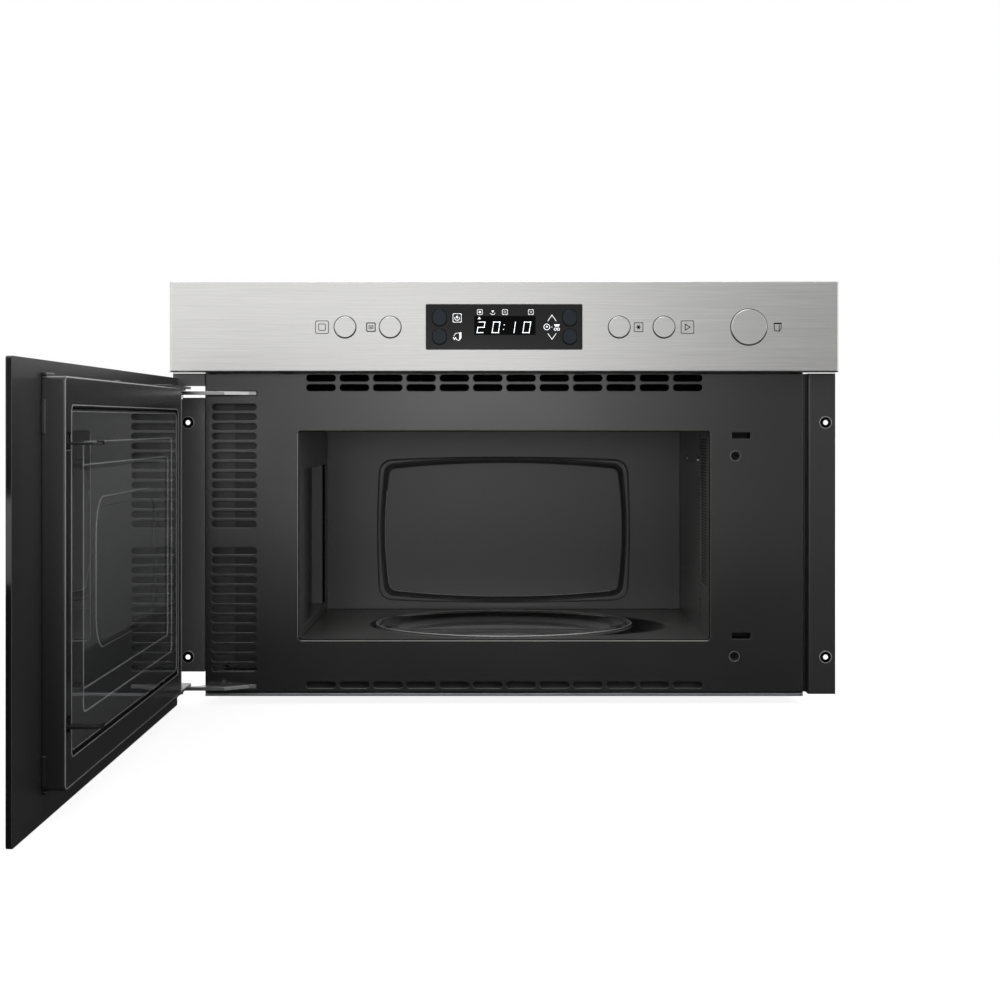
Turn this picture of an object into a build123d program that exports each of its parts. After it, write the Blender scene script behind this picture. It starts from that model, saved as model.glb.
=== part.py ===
from build123d import *
import math
import os

# A 60 cm built-in microwave with its door open by 90 degrees.
# X runs to the right and Z up, seen from the front, and Y runs to the back.
# The origin is the centre of the underside of the body. Lengths are millimetres.

# Body
body_width = 538.0
body_height = 360.0
body_depth = 299.0
wrap_sheet = 0.8
base_sheet = 1.0
rear_sheet = 0.8
frame_sheet = 1.0
frame_side_gap = 0.2
frame_bottom = 5.8
frame_return = 14.0
base_lip_rise = 2.4
base_lip_depth = 9.0
base_lip_step = 0.2

# Whole front: panel, closed door and flanges share one width
front_width = 595.0
front_reach = 21.0

# Control panel
panel_bottom = 292.1
panel_top = 373.2
fascia_sheet = 1.0
fascia_depth = 17.0
fascia_edge_radius = 1.4
carrier_wall = 1.5
carrier_depth = 14.0
carrier_gap = 0.3
button_z = 332.1
small_button_dia = 19.0
small_button_xs = (-141.5, -101.3, 102.3, 142.1)
small_button_names = ("stop_button", "power_button", "defrost_button", "start_button")
small_button_proud = 1.2
small_button_travel = 1.2
door_button_dia = 31.8
door_button_x = 217.6
door_button_proud = 1.6
door_button_stem = 10.0
door_stem_nose = 2.0
button_gap = 0.3
button_skin = 2.0
stem_reach = 10.0
window_width = 139.0
window_bottom = 312.2
window_top = 352.4
window_proud = 0.2
window_gap = 0.1
key_width = 12.5
key_tall = 14.5
key_short = 13.5
key_xs = (-57.5, 58.4)
key_zs = (340.4, 323.6)
key_names = (("clock_key", "mode_key"), ("up_key", "down_key"))
key_proud = 0.9
key_travel = 0.8
lcd_left = -28.0
lcd_right = 29.5
lcd_bottom = 324.0
lcd_top = 343.5
lcd_gap = 0.2
board_thickness = 1.6
board_depth_front = 9.6
board_half_width = 190.0
board_bottom = 302.0
board_top = 364.0
switch_size = 6.0
switch_height = 4.3

# Front frame openings
cavity_half_width = 184.8
cavity_bottom = 51.4
cavity_top = 239.8
opening_gap = 0.8
opening_radius = 3.0
frame_top = 291.4
top_vent_count = 12
top_vent_width = 26.3
top_vent_height = 5.9
top_vent_pitch = 30.0
top_vent_x = 0.25
top_vent_zs = (287.2, 278.6)
bottom_vent_z = 11.1
side_vent_count = 13
side_vent_width = 40.1
side_vent_height = 5.7
side_vent_pitch = 8.79
side_vent_x = -242.95
side_vent_tops = (261.1, 131.7)
hook_from_cavity = 28.5
hook_zs = (235.5, 55.3)
hook_slot_width = 17.0
hook_slot_height = 5.3
dimple_offsets = ((-5.0, 217.2), (-5.9, 36.7))
dimple_dia = 8.6
dimple_depth = 3.0
dimple_hole = 3.4
peep_x = -251.7
peep_z = 14.6
peep_dia = 3.8
cable_half_width = 40.0
cable_bottom = 310.0
cable_top = 350.0
stem_hole_gap = 2.0

# Flanges that screw to the cabinet
flange_sheet = 1.2
flange_back = 1.9
flange_bottom_left = 23.5
flange_bottom_right = 3.4
flange_top = 291.4
flange_notch_bottom = 269.6
flange_notch_top = 280.0
flange_web_left = 40.0
flange_web_right = 14.0
flange_foot = 36.0
flange_stand_off = 4.0
flange_notch_depth = 8.0
cabinet_hole_inset_left = 13.5
cabinet_hole_inset_right = 8.7
cabinet_hole_zs = (36.6, 247.3)
cabinet_hole_dia = 5.3
cabinet_sink_dia = 8.5
cabinet_sink_depth = 0.8

# Cavity
liner_sheet = 0.8
cavity_depth = 290.0
liner_flange = 12.0
well_radius = 131.0
well_floor_radius = 113.0
well_depth = 24.0
well_y = 150.0
scoop_x = 60.0
scoop_y = 135.0
scoop_radius = 98.0
scoop_floor_radius = 84.0
scoop_depth = 10.0
emboss_z = 134.9
emboss_width = 249.4
emboss_height = 138.6
emboss_floor_width = 238.6
emboss_floor_height = 127.2
emboss_depth = 5.0
emboss_bulge_side = 5.0
emboss_bulge_top = 6.5
emboss_corner = 11.5
emboss_floor_corner = 7.0
halo_width = 259.4
halo_height = 146.1
halo_depth = 0.6
halo_corner = 14.0
feed_start = 37.0
feed_deep = 225.0
feed_end = 265.0
feed_bottom = 60.0
feed_top = 204.0
feed_depth = 14.0
feed_window_start = 2.0
feed_window_end = 4.0
feed_window_bottom = 75.0
feed_window_top = 190.0
feed_cover_sheet = 0.6
grille_start = 24.0
grille_end = 78.0
grille_bottom = 97.0
grille_top = 232.0
grille_sheet = 0.8
grille_lap = 5.0
wall_screw_ys = (98.8, 206.0)
wall_screw_z = 211.7

# Turntable
plate_radius = 125.0
plate_flat_radius = 100.0
plate_ramp_radius = 118.0
plate_bottom = 41.0
plate_glass = 4.0
plate_rim_top = 52.5
peg_radius = 2.6
peg_ring = 10.5
peg_height = 6.0
wheel_radius = 6.5
wheel_width = 8.0
wheel_ring = 95.0
wheel_count = 3
axle_radius = 1.5
wheel_gap = 0.3
ring_inner = 80.0
ring_outer = 86.0
ring_height = 5.0
coupler_hub = 6.0
coupler_arm = 14.0
coupler_arm_width = 5.0
coupler_stem = 3.0
motor_radius = 25.0
motor_height = 16.0

# Door, given where it stands when it is closed
hinge_inset = 8.75
hinge_front = 12.25
door_angle_open = 90.0
glass_thickness = 4.0
glass_bottom = -6.3
glass_top = 287.2
door_back_gap = 1.9
door_from_cavity_left = 41.2
door_from_hook = 9.6
door_bottom = 14.1
door_top = 276.9
door_wall = 1.2
pane_inset_left = 17.0
pane_inset_right = 17.9
pane_bottom = 32.5
pane_top = 258.5
pane_radius = 5.0
pane_thickness = 1.5
pane_recess = 0.7
pane_ledge = 4.0
pane_gap = 0.15
screen_sheet = 0.6
screen_step = 2.0
screen_insets = ((19.0, 46.0, 22.0, 24.0), (26.5, 53.5, 36.5, 39.5))
screen_bead_inset = (76.5, 105.5, 56.5, 63.5)
screen_corner = 6.0
screen_bead_radius = 25.0
screen_bead_width = 7.0
screen_bead_height = 1.0
screen_bead_slope = 0.7
bracket_end_gap = 4.3
bracket_length = 123.2
bracket_back = 3.6
bracket_thickness = 2.2
bush_wall = 1.15
pin_radius = 2.0
pin_fit = 0.05
hinge_plate = 3.2
hinge_ear = 4.4
hinge_gap_bottom = 0.5
hinge_below_glass = 15.2
pin_press = 0.02
hinge_tail = 28.0
hinge_tab = 10.0
hinge_tab_width = 36.0
hinge_tab_sheet = 3.0
hinge_slant = (14.75, 39.25, 59.25)
clip_height = 2.2
clip_depth = 3.0
clip_length = 23.0
clip_end = 0.9
clip_middle = (-20.0, 3.0)
clip_side_zs = ((17.0, 36.6), (240.0, 262.0))
hook_width = 13.0
hook_plate = 1.6
hook_tip = 1.2
hook_reach = 20.0
hook_travel = 1.8
hook_window_height = 11.0

# Values that follow from these
face_y = -body_depth / 2
body_half = body_width / 2
inner_half = body_half - wrap_sheet
front_half = front_width / 2
top_inner = body_height - wrap_sheet
cut = 1.0
hook_x = cavity_half_width + hook_from_cavity
dimple_places = tuple((hook_x + x, z) for x, z in dimple_offsets)
cabinet_hole_xs = (-front_half + cabinet_hole_inset_left, front_half - cabinet_hole_inset_right)
hinge_x = -front_half + hinge_inset
door_left = -cavity_half_width - door_from_cavity_left
door_right = hook_x + door_from_hook
pane_left = door_left + pane_inset_left
pane_right = door_right - pane_inset_right
bracket_left = -front_half + bracket_end_gap
bracket_right = bracket_left + bracket_length
guide_right = -cavity_half_width - feed_depth - liner_sheet


def back(depth):
    """Y of a point that lies this deep behind the front frame's face."""
    return face_y + depth


def block(x0, x1, y0, y1, z0, z1):
    """Box between two corners."""
    size = Box(x1 - x0, y1 - y0, z1 - z0)
    return Pos((x0 + x1) / 2, (y0 + y1) / 2, (z0 + z1) / 2) * size


def slab(x0, x1, d0, d1, z0, z1):
    """Box whose Y is given as depth behind the front frame's face."""
    return block(x0, x1, back(d0), back(d1), z0, z1)


def prism_y(sketch, d0, d1):
    """Sketch in X and Z, pushed from depth d0 back to depth d1."""
    plane = Plane((0, back(d1), 0), x_dir=(1, 0, 0), z_dir=(0, -1, 0))
    return extrude(plane * sketch, amount=d1 - d0)


def prism_z(sketch, z0, z1):
    """Sketch in X and Y, pushed from z0 up to z1."""
    return extrude(Pos(0, 0, z0) * sketch, amount=z1 - z0)


def prism_x(sketch, x0, x1):
    """Sketch in Y and Z, pushed from x0 to x1."""
    plane = Plane((x0, 0, 0), x_dir=(0, 1, 0), z_dir=(1, 0, 0))
    return extrude(plane * sketch, amount=x1 - x0)


def rod_y(x, z, d0, d1, radius):
    """Cylinder along Y, its ends given as depths."""
    return prism_y(Pos(x, z) * Circle(radius), d0, d1)


def rod_z(x, y, z0, z1, radius):
    """Cylinder along Z."""
    return prism_z(Pos(x, y) * Circle(radius), z0, z1)


def rod_x(y, z, x0, x1, radius):
    """Cylinder along X."""
    return prism_x(Pos(y, z) * Circle(radius), x0, x1)


def cone_z(x, y, z0, z1, r0, r1):
    """Cone along Z from radius r0 at z0 to r1 at z1."""
    return Pos(x, y, (z0 + z1) / 2) * Cone(r0, r1, z1 - z0)


def cone_y(x, z, d0, d1, r0, r1):
    """Cone along Y from radius r0 at depth d0 to r1 at depth d1."""
    turned = Rot(-90, 0, 0) * Cone(r0, r1, d1 - d0)
    return Pos(x, back((d0 + d1) / 2), z) * turned


def rect(x0, x1, z0, z1, radius=0.0):
    """Rectangle between two corners, with round corners if a radius is given."""
    width = x1 - x0
    height = z1 - z0
    if radius > 0:
        shape = RectangleRounded(width, height, min(radius, width / 2.01, height / 2.01))
    else:
        shape = Rectangle(width, height)
    return Pos((x0 + x1) / 2, (z0 + z1) / 2) * shape


def outline(points):
    """Flat face from its corners."""
    return make_face(Polyline(*points, close=True))


def join(shapes):
    """One shape from many."""
    total = shapes[0]
    for shape in shapes[1:]:
        total = total + shape
    return total


def group(shapes):
    """Separate solids that share one node."""
    solids = []
    for shape in shapes:
        solids.extend(shape.solids())
    return Compound(children=solids)


def tray(x0, x1, d0, d1, z0, z1, sheet):
    """Shallow box with its front plate at d0, open at the back."""
    outer = slab(x0, x1, d0, d1, z0, z1)
    return outer - slab(x0 + sheet, x1 - sheet, d0 + sheet, d1 + cut, z0 + sheet, z1 - sheet)


def swing_open(shape):
    """Turn a piece of the closed door about the hinge pins to where the open door stands."""
    to_axis = Pos(-hinge_x, -back(-hinge_front), 0)
    from_axis = Pos(hinge_x, back(-hinge_front), 0)
    return from_axis * Rot(0, 0, -door_angle_open) * to_axis * shape


def save(name, shape):
    """Write one node."""
    os.makedirs("parts", exist_ok=True)
    export_step(shape, "parts/" + name + ".step")


# Front frame and body shell

hinge_z_top = (glass_top - hinge_below_glass, glass_top - hinge_below_glass + hinge_plate)
hinge_z_bottom = (door_bottom - bracket_thickness - hinge_gap_bottom - hinge_plate,
                  door_bottom - bracket_thickness - hinge_gap_bottom)
hinge_slot_left = -266.0
hinge_slot_right = -222.4
hinge_slot_gap = 0.25
frame_tail = 2 * frame_sheet


def vent_row(count, pitch, middle, z, width, height):
    """Row of round-ended slots, side by side."""
    slots = []
    for index in range(count):
        x = middle + (index - (count - 1) / 2) * pitch
        slots.append(Pos(x, z) * SlotOverall(width, height))
    return slots


def side_bank(top_z):
    """Column of slots beside the cavity, counted down from its top slot."""
    slots = []
    for index in range(side_vent_count):
        z = top_z - index * side_vent_pitch
        slots.append(Pos(side_vent_x, z) * SlotOverall(side_vent_width, side_vent_height))
    return slots


def hinge_slot(zs):
    """Slot that a hinge plate passes through."""
    return rect(hinge_slot_left, hinge_slot_right, zs[0] - hinge_slot_gap, zs[1] + hinge_slot_gap)


def front_frame():
    """Black sheet face round the cavity, with its vents, slots and screw dimples."""
    half = body_half - frame_side_gap
    face = rect(-half, half, frame_bottom, frame_top)
    gap = opening_gap
    face = face - rect(-cavity_half_width - gap, cavity_half_width + gap,
                       cavity_bottom - gap / 2, cavity_top + gap / 2, opening_radius)
    holes = []
    for z in top_vent_zs:
        holes += vent_row(top_vent_count, top_vent_pitch, top_vent_x, z, top_vent_width, top_vent_height)
    holes += vent_row(top_vent_count, top_vent_pitch, top_vent_x, bottom_vent_z,
                      top_vent_width, top_vent_height)
    for top_z in side_vent_tops:
        holes += side_bank(top_z)
    for z in hook_zs:
        holes.append(rect(hook_x - hook_slot_width / 2, hook_x + hook_slot_width / 2,
                          z - hook_slot_height / 2, z + hook_slot_height / 2, 0.8))
    for x, z in dimple_places:
        holes.append(Pos(x, z) * Circle(dimple_dia / 2))
    holes.append(Pos(peep_x, peep_z) * Circle(peep_dia / 2))
    holes.append(hinge_slot(hinge_z_top))
    holes.append(hinge_slot(hinge_z_bottom))
    body = prism_y(face - holes, 0, frame_sheet)

    upper = rect(-inner_half, inner_half, frame_top - frame_sheet, top_inner)
    upper = upper - [Pos(door_button_x, button_z) * Circle(door_button_stem / 2 + stem_hole_gap),
                     rect(-cable_half_width, cable_half_width, cable_bottom, cable_top, 4)]
    body = body + prism_y(upper, frame_sheet, frame_tail)
    body = body + slab(-half + cut, half - cut, 0, frame_tail, frame_top - frame_sheet, frame_top)

    sheet = frame_sheet
    body = body + slab(-inner_half, inner_half, sheet, frame_return, top_inner - sheet, top_inner)
    for side in (-1, 1):
        x0, x1 = sorted((side * inner_half, side * (inner_half - sheet)))
        body = body + slab(x0, x1, 0, frame_return, frame_bottom, frame_top)
        body = body + slab(x0, x1, sheet, frame_return, frame_top - cut, top_inner)
    body = body + slab(-inner_half, inner_half, 0, frame_return, frame_bottom - sheet, frame_bottom)
    for x, z in dimple_places:
        outer = cone_y(x, z, 0, dimple_depth, dimple_dia / 2 + 0.6, dimple_hole / 2 + 0.6)
        inner = cone_y(x, z, -0.01, dimple_depth + 0.01, dimple_dia / 2, dimple_hole / 2)
        body = body + (outer - inner)
    return body


base_slot_xs = (-200.0, 0.0, 200.0)
base_slot_depths = (60.0, 250.0)
base_slot_length = 30.0
base_slot_width = 5.0


def base_plate():
    """Galvanised underside, with a joggled lip under the front frame."""
    floor = slab(-body_half, body_half, base_lip_depth - base_sheet, body_depth, 0, base_sheet)
    lip_z = base_lip_rise
    lip = slab(-inner_half, inner_half, base_lip_step, base_lip_depth, lip_z, lip_z + base_sheet)
    riser = slab(-inner_half, inner_half, base_lip_depth - base_sheet, base_lip_depth, 0, lip_z + base_sheet)
    foot_holes = []
    for x in base_slot_xs:
        for d in base_slot_depths:
            foot_holes.append(Pos(x, back(d)) * SlotOverall(base_slot_length, base_slot_width))
    return floor + lip + riser - prism_z(Sketch() + foot_holes, -cut, base_sheet + cut)


louvre_width = 40.0
louvre_height = 4.0
louvre_pitch = 10.0
louvre_rows = 8
left_louvre = (110.0, 270.0)
right_louvres = ((240.0, 255.0), (240.0, 20.0))
top_louvre_xs = (-200.0, -140.0)
top_louvre_depth = 200.0


def side_louvres(x0, x1, depth, z):
    """Column of slots cut through a side of the outer wrap."""
    slots = []
    for row in range(louvre_rows):
        slots.append(Pos(back(depth), z + row * louvre_pitch) * SlotOverall(louvre_width, louvre_height))
    return prism_x(Sketch() + slots, x0, x1)


def outer_wrap():
    """Galvanised casing: top and two sides in one bent sheet."""
    back_end = body_depth - rear_sheet
    outer = slab(-body_half, body_half, frame_sheet, back_end, base_sheet, body_height)
    inner = slab(-inner_half, inner_half, -cut, body_depth, -cut, top_inner)
    shell = outer - inner
    shell = shell - side_louvres(-body_half - cut, -inner_half + cut, *left_louvre)
    for depth, z in right_louvres:
        shell = shell - side_louvres(inner_half - cut, body_half + cut, depth, z)
    top_slots = []
    for row in range(louvre_rows):
        y = back(top_louvre_depth + row * louvre_pitch)
        for x in top_louvre_xs:
            top_slots.append(Pos(x, y) * SlotOverall(louvre_width, louvre_height))
    return shell - prism_z(Sketch() + top_slots, top_inner - cut, body_height + cut)


gland_x = 230.0
gland_z = 320.0
gland_hole = 16.0
gland_bore = 3.6
gland_rim = 3.0
gland_neck = 8.0
gland_nut = 5.0
gland_proud = 2.6
rear_vent_xs = (-210.0, -160.0, -110.0)
rear_vent_bottom = 265.0
rear_low_vent_xs = (-120.0, 0.0, 120.0)
rear_low_vent_bottom = 22.0
rear_low_vent_rows = 4


def rear_cover():
    """Galvanised back panel with exhaust slots and the hole for the mains gland."""
    face = rect(-body_half, body_half, base_sheet, body_height)
    holes = [Pos(gland_x, gland_z) * Circle(gland_hole / 2)]
    for x in rear_vent_xs:
        for row in range(louvre_rows):
            z = rear_vent_bottom + row * louvre_pitch
            holes.append(Pos(x, z) * SlotOverall(louvre_width, louvre_height))
    for x in rear_low_vent_xs:
        for row in range(rear_low_vent_rows):
            z = rear_low_vent_bottom + row * louvre_pitch
            holes.append(Pos(x, z) * SlotOverall(louvre_width, louvre_height))
    for x, z in rear_screw_places():
        holes.append(Pos(x, z) * Circle(case_screw_shank / 2))
    return prism_y(face - holes, body_depth - rear_sheet, body_depth)


case_screw_head = 7.6
case_screw_proud = 1.6
case_screw_shank = 3.6
case_screw_inset = 14.0


def rear_screw_places():
    """X and Z of the screws that hold the rear cover."""
    xs = (-body_half + case_screw_inset, 0, body_half - case_screw_inset)
    zs = (case_screw_inset, body_height - case_screw_inset)
    return [(x, z) for x in xs for z in zs]


def mains_gland():
    """Moulded strain relief in the rear cover; the photographed object shows no cord."""
    rim = gland_hole / 2 + gland_rim
    end = body_depth + gland_proud
    flange = rod_y(gland_x, gland_z, body_depth, end, rim)
    neck = rod_y(gland_x, gland_z, body_depth - gland_neck, body_depth, gland_hole / 2 - pin_fit)
    nut = rod_y(gland_x, gland_z, body_depth - gland_nut, body_depth - rear_sheet, rim)
    bore = rod_y(gland_x, gland_z, body_depth - gland_neck - cut, end + cut, gland_bore)
    return flange + neck + nut - bore


def flange_holes(x):
    """Cutting tool for the two countersunk holes of one flange."""
    front = -flange_back - flange_sheet
    tools = []
    for z in cabinet_hole_zs:
        tools.append(rod_y(x, z, front - cut, -flange_back + cut, cabinet_hole_dia / 2))
        tools.append(cone_y(x, z, front - 0.01, front + cabinet_sink_depth,
                            cabinet_sink_dia / 2, cabinet_hole_dia / 2))
    return join(tools)


def flange_left():
    """Left mounting flange, notched where the top hinge plate passes."""
    front = -flange_back - flange_sheet
    web_out = -body_half - flange_sheet
    plate = slab(-front_half, -body_half, front, -flange_back, flange_bottom_left, flange_top)
    web = slab(web_out, -body_half, front, flange_web_left, flange_bottom_left, flange_top)
    notch = slab(-front_half - cut, -body_half + cut, front - cut, flange_notch_depth,
                 flange_notch_bottom, flange_notch_top)
    return plate + web - notch - flange_holes(cabinet_hole_xs[0])


def flange_right():
    """Right mounting flange, which stands off the casing and folds back to it."""
    front = -flange_back - flange_sheet
    web_x = body_half + flange_stand_off
    sheet = flange_sheet
    bend = flange_web_right
    corners = [(front_half, front), (front_half, -flange_back), (web_x + sheet, -flange_back),
               (web_x + sheet, bend), (body_half + sheet, bend), (body_half + sheet, bend + flange_foot),
               (body_half, bend + flange_foot), (body_half, bend - sheet), (web_x, bend - sheet),
               (web_x, front)]
    section = outline([(x, back(d)) for x, d in corners])
    outer_corner = section.vertices().sort_by_distance((web_x, back(front), 0))[0]
    section = fillet(outer_corner, flange_sheet + 0.8)
    inner_corner = section.vertices().sort_by_distance((web_x + sheet, back(-flange_back), 0))[0]
    section = fillet(inner_corner, 0.8)
    body = prism_z(section, flange_bottom_right, flange_top)
    return body - flange_holes(cabinet_hole_xs[1])


baffle_depth = 20.0
baffle_width = 28.2
baffle_bottom = 24.0
baffle_top = 268.0
baffle_fold = 12.0
baffle_hole = (-252.0, 27.5)
baffle_hole_radius = 3.0


def intake_baffle():
    """Galvanised plate behind the vents on the left."""
    right = -inner_half + baffle_width
    rear = baffle_depth + wrap_sheet
    plate = slab(-inner_half, right, baffle_depth, rear, baffle_bottom, baffle_top)
    fold = slab(right - wrap_sheet, right, baffle_depth, baffle_depth + baffle_fold,
                baffle_bottom, baffle_top)
    hole = rod_y(*baffle_hole, baffle_depth - cut, rear + cut, baffle_hole_radius)
    return plate + fold - hole


# Cavity


def pillow(width, height, bulge_side, bulge_top, corner):
    """Round-cornered rectangle whose four sides bow outwards."""
    x = width / 2
    z = height / 2
    top = ThreePointArc((-x, z), (0, z + bulge_top), (x, z))
    right = ThreePointArc((x, z), (x + bulge_side, 0), (x, -z))
    bottom = ThreePointArc((x, -z), (0, -z - bulge_top), (-x, -z))
    left = ThreePointArc((-x, -z), (-x - bulge_side, 0), (-x, z))
    face = make_face([top, right, bottom, left])
    return fillet(face.vertices(), corner)


def pillow_at(depth, width, height, side_share, corner):
    """Pillow outline standing at a depth on the rear wall's emboss centre."""
    flat = pillow(width, height, emboss_bulge_side * side_share, emboss_bulge_top * side_share, corner)
    plane = Plane((0, back(depth), emboss_z), x_dir=(1, 0, 0), z_dir=(0, -1, 0))
    return plane * flat


def cavity_space(grow):
    """Everything that the liner encloses, larger all round by grow."""
    rear = cavity_depth
    g = grow
    space = slab(-cavity_half_width - g, cavity_half_width + g, frame_sheet - cut, rear + g,
                 cavity_bottom - g, cavity_top + g)
    halo = loft([pillow_at(rear + halo_depth + g, halo_width - 2 + 2 * g, halo_height - 2 + 2 * g,
                           0.5, halo_corner - 1 + g),
                 pillow_at(rear - 1, halo_width + 2 * g, halo_height + 2 * g,
                           0.5, halo_corner + g)], ruled=True)
    deep = loft([pillow_at(rear + emboss_depth + g, emboss_floor_width + 2 * g,
                           emboss_floor_height + 2 * g, 1.0, emboss_floor_corner + g),
                 pillow_at(rear, emboss_width + 2 * g, emboss_height + 2 * g,
                           1.0, emboss_corner + g)], ruled=True)
    wall = -cavity_half_width
    plan = outline([(wall + cut, back(feed_start) - g), (wall - g, back(feed_start) - g),
                    (wall - feed_depth - g, back(feed_deep)),
                    (wall - feed_depth - g, back(feed_end - 3) + g),
                    (wall - g, back(feed_end) + g), (wall + cut, back(feed_end) + g)])
    feed = prism_z(plan, feed_bottom - g, feed_top + g)
    well = cone_z(0, back(well_y), cavity_bottom - well_depth - g, cavity_bottom + 0.01,
                  well_floor_radius + g, well_radius + g)
    scoop = cone_z(scoop_x, back(scoop_y), cavity_bottom - scoop_depth - g, cavity_bottom + 0.01,
                   scoop_floor_radius + g, scoop_radius + g)
    return space + halo + deep + feed + well + scoop


coupler_hole = 8.0
wall_screw_shank = 1.8
feed_window = (feed_deep + feed_window_start, feed_end - feed_window_end,
               feed_window_bottom, feed_window_top)


def cavity_shell():
    """The whole enamelled lining of the cavity, before its floor is parted from its walls."""
    sheet = liner_sheet
    shell = cavity_space(sheet)
    front_edge = frame_sheet
    rim = liner_flange
    x = cavity_half_width
    lip = slab(-x - rim, x + rim, front_edge, front_edge + sheet, cavity_bottom - rim, cavity_top + rim)
    shell = shell + lip - cavity_space(0)
    shell = shell - slab(-body_half, body_half, -cut, front_edge, 0, body_height)
    shell = shell - rod_z(0, back(well_y), 0, cavity_bottom, coupler_hole)
    d0, d1, z0, z1 = feed_window
    wall = -x - feed_depth
    shell = shell - slab(wall - 2 * sheet, wall + 0.3, d0, d1, z0, z1)
    shell = shell - slab(x - cut, x + 2 * sheet, grille_start, grille_end, grille_bottom, grille_top)
    for d in wall_screw_ys:
        shell = shell - rod_x(back(d), wall_screw_z, x - cut, x + 2 * sheet, wall_screw_shank)
    return shell


def below_floor():
    """The space below the cavity's floor level."""
    return slab(-body_half, body_half, 0, body_depth, 0, cavity_bottom)


def cavity_liner():
    """Enamelled walls, roof and rear of the cavity, with the embossed panel and feed recess."""
    return cavity_shell() - below_floor()


def cavity_floor():
    """Enamelled floor pressing with the turntable well, spot-welded under the walls."""
    return cavity_shell() & below_floor()


def air_grille():
    """Perforated plate that covers the air opening in the cavity's right wall."""
    x0 = cavity_half_width + liner_sheet
    lap = grille_lap
    return slab(x0, x0 + grille_sheet, grille_start - lap, grille_end + lap,
                grille_bottom - lap, grille_top + lap)


def feed_cover():
    """Mica sheet over the microwave feed in the left wall."""
    x0 = -cavity_half_width - feed_depth
    return slab(x0, x0 + feed_cover_sheet, feed_deep + 1, feed_end - 3.2, feed_bottom + 0.4, feed_top - 0.4)


deck_z = 246.0
deck_sheet = 1.0
deck_left_gap = 13.6
deck_right = 267.0
deck_rear_gap = 2.2
deck_notch_gap = 2.0
deck_slot_xs = (-60.0, -20.0)
deck_slot_depths = (60.0, 110.0, 160.0, 210.0)
deck_slot_length = 30.0
deck_slot_width = 8.0
deck_rib_xs = (-150.0, 0.0, 150.0)
deck_rib_start = 20.0
deck_rib_end = 280.0
deck_top = deck_z + deck_sheet


def component_deck():
    """Plate above the cavity that carries the electrical parts."""
    rear = body_depth - rear_sheet - deck_rear_gap
    plate = slab(guide_right + deck_left_gap, deck_right, frame_return, rear, deck_z, deck_top)
    holes = []
    for x in deck_slot_xs:
        for d in deck_slot_depths:
            holes.append(Pos(x, back(d)) * SlotOverall(deck_slot_length, deck_slot_width))
    plate = plate - prism_z(Sketch() + holes, deck_z - cut, deck_top + cut)
    gap = deck_notch_gap
    plate = plate - slab(housing_left - gap, housing_right + gap, 0, housing_depth + gap,
                         deck_z - cut, deck_top + cut)
    for x in deck_rib_xs:
        plate = plate + slab(x, x + deck_sheet, deck_rib_start, deck_rib_end,
                             cavity_top + liner_sheet, deck_z)
    return plate


guide_width = 40.4
guide_socket_radius = 14.0
guide_bottom = 64.0
guide_top = 345.0
guide_front = 204.0
guide_rear = 284.0
guide_sheet = 1.0
antenna_z = 303.0
antenna_depth = 244.0


def waveguide():
    """Rectangular tube that leads from the magnetron down to the feed opening."""
    right = guide_right
    left = right - guide_width
    s = guide_sheet
    outer = slab(left, right, guide_front, guide_rear, guide_bottom, guide_top)
    inner = slab(left + s, right - s, guide_front + s, guide_rear - s, guide_bottom + s, guide_top - s)
    d0, d1, z0, z1 = feed_window
    port = slab(right - 2 * s, right + cut, d0, d1, z0, z1)
    socket = rod_x(back(antenna_depth), antenna_z, right - 2 * s, right + cut, guide_socket_radius)
    return outer - inner - port - socket


# Parts above and beside the cavity

magnetron_from_guide = 33.6
magnetron_x = guide_right + magnetron_from_guide
magnetron_half = 30.0
magnetron_front = 196.5
magnetron_rear = 291.5
magnetron_bottom = 263.0
magnetron_top = 343.0
fin_count = 7
fin_sheet = 1.2
antenna_reach = 16.0
antenna_radius = 12.0
fan_x = magnetron_x
fan_z = 303.0
fan_front = 120.0
fan_length = 25.0
fan_radius = 44.0
fan_ring = 46.0
fan_blades = 9
fan_hub = 14.0
fan_shaft = 2.5
shroud_foot_offsets = (-14.0, 42.0)
shroud_foot = 8.0


def magnetron():
    """Microwave tube: yoke plates, cooling fins, filter box and antenna."""
    x0 = magnetron_x - magnetron_half
    x1 = magnetron_x + magnetron_half
    y0 = magnetron_front
    y1 = magnetron_rear
    yoke = slab(x0, x1, y0, y1, magnetron_bottom, magnetron_bottom + 2)
    yoke = yoke + slab(x0, x1, y0, y1, magnetron_top - 2, magnetron_top)
    yoke = yoke + slab(x0, x0 + 2, y0, y1, magnetron_bottom, magnetron_top)
    core = rod_x(back(antenna_depth), antenna_z, x0, x1 + 14, 18)
    body = yoke + core
    for index in range(fin_count):
        x = x0 + 10 + index * (2 * magnetron_half - 16) / (fin_count - 1)
        body = body + slab(x, x + fin_sheet, y0 + 12, y1 - 12, magnetron_bottom + 6, magnetron_top - 6)
    body = body + rod_x(back(antenna_depth), antenna_z, guide_right - antenna_reach, x0, antenna_radius)
    body = body + slab(x1, x1 + 14, y0 + 20, y1 - 20, magnetron_bottom + 12, magnetron_top - 12)
    for y in (y0 + 6, y1 - 12):
        body = body + slab(x0 + 4, x0 + 14, y, y + 6, deck_top, magnetron_bottom)
    return body


transformer_x = 65.0
transformer_depth = 225.0
core_width = 82.0
core_length = 58.0
core_top = 328.0
core_leg = 18.0
core_side = 12.0
core_window = 22.0
core_window_zs = (263.0, 295.0)
core_foot = 2.0
core_foot_reach = 6.0
core_foot_inset = 4.0
coil_reach = 14.0
coil_gap = 0.5


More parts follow.
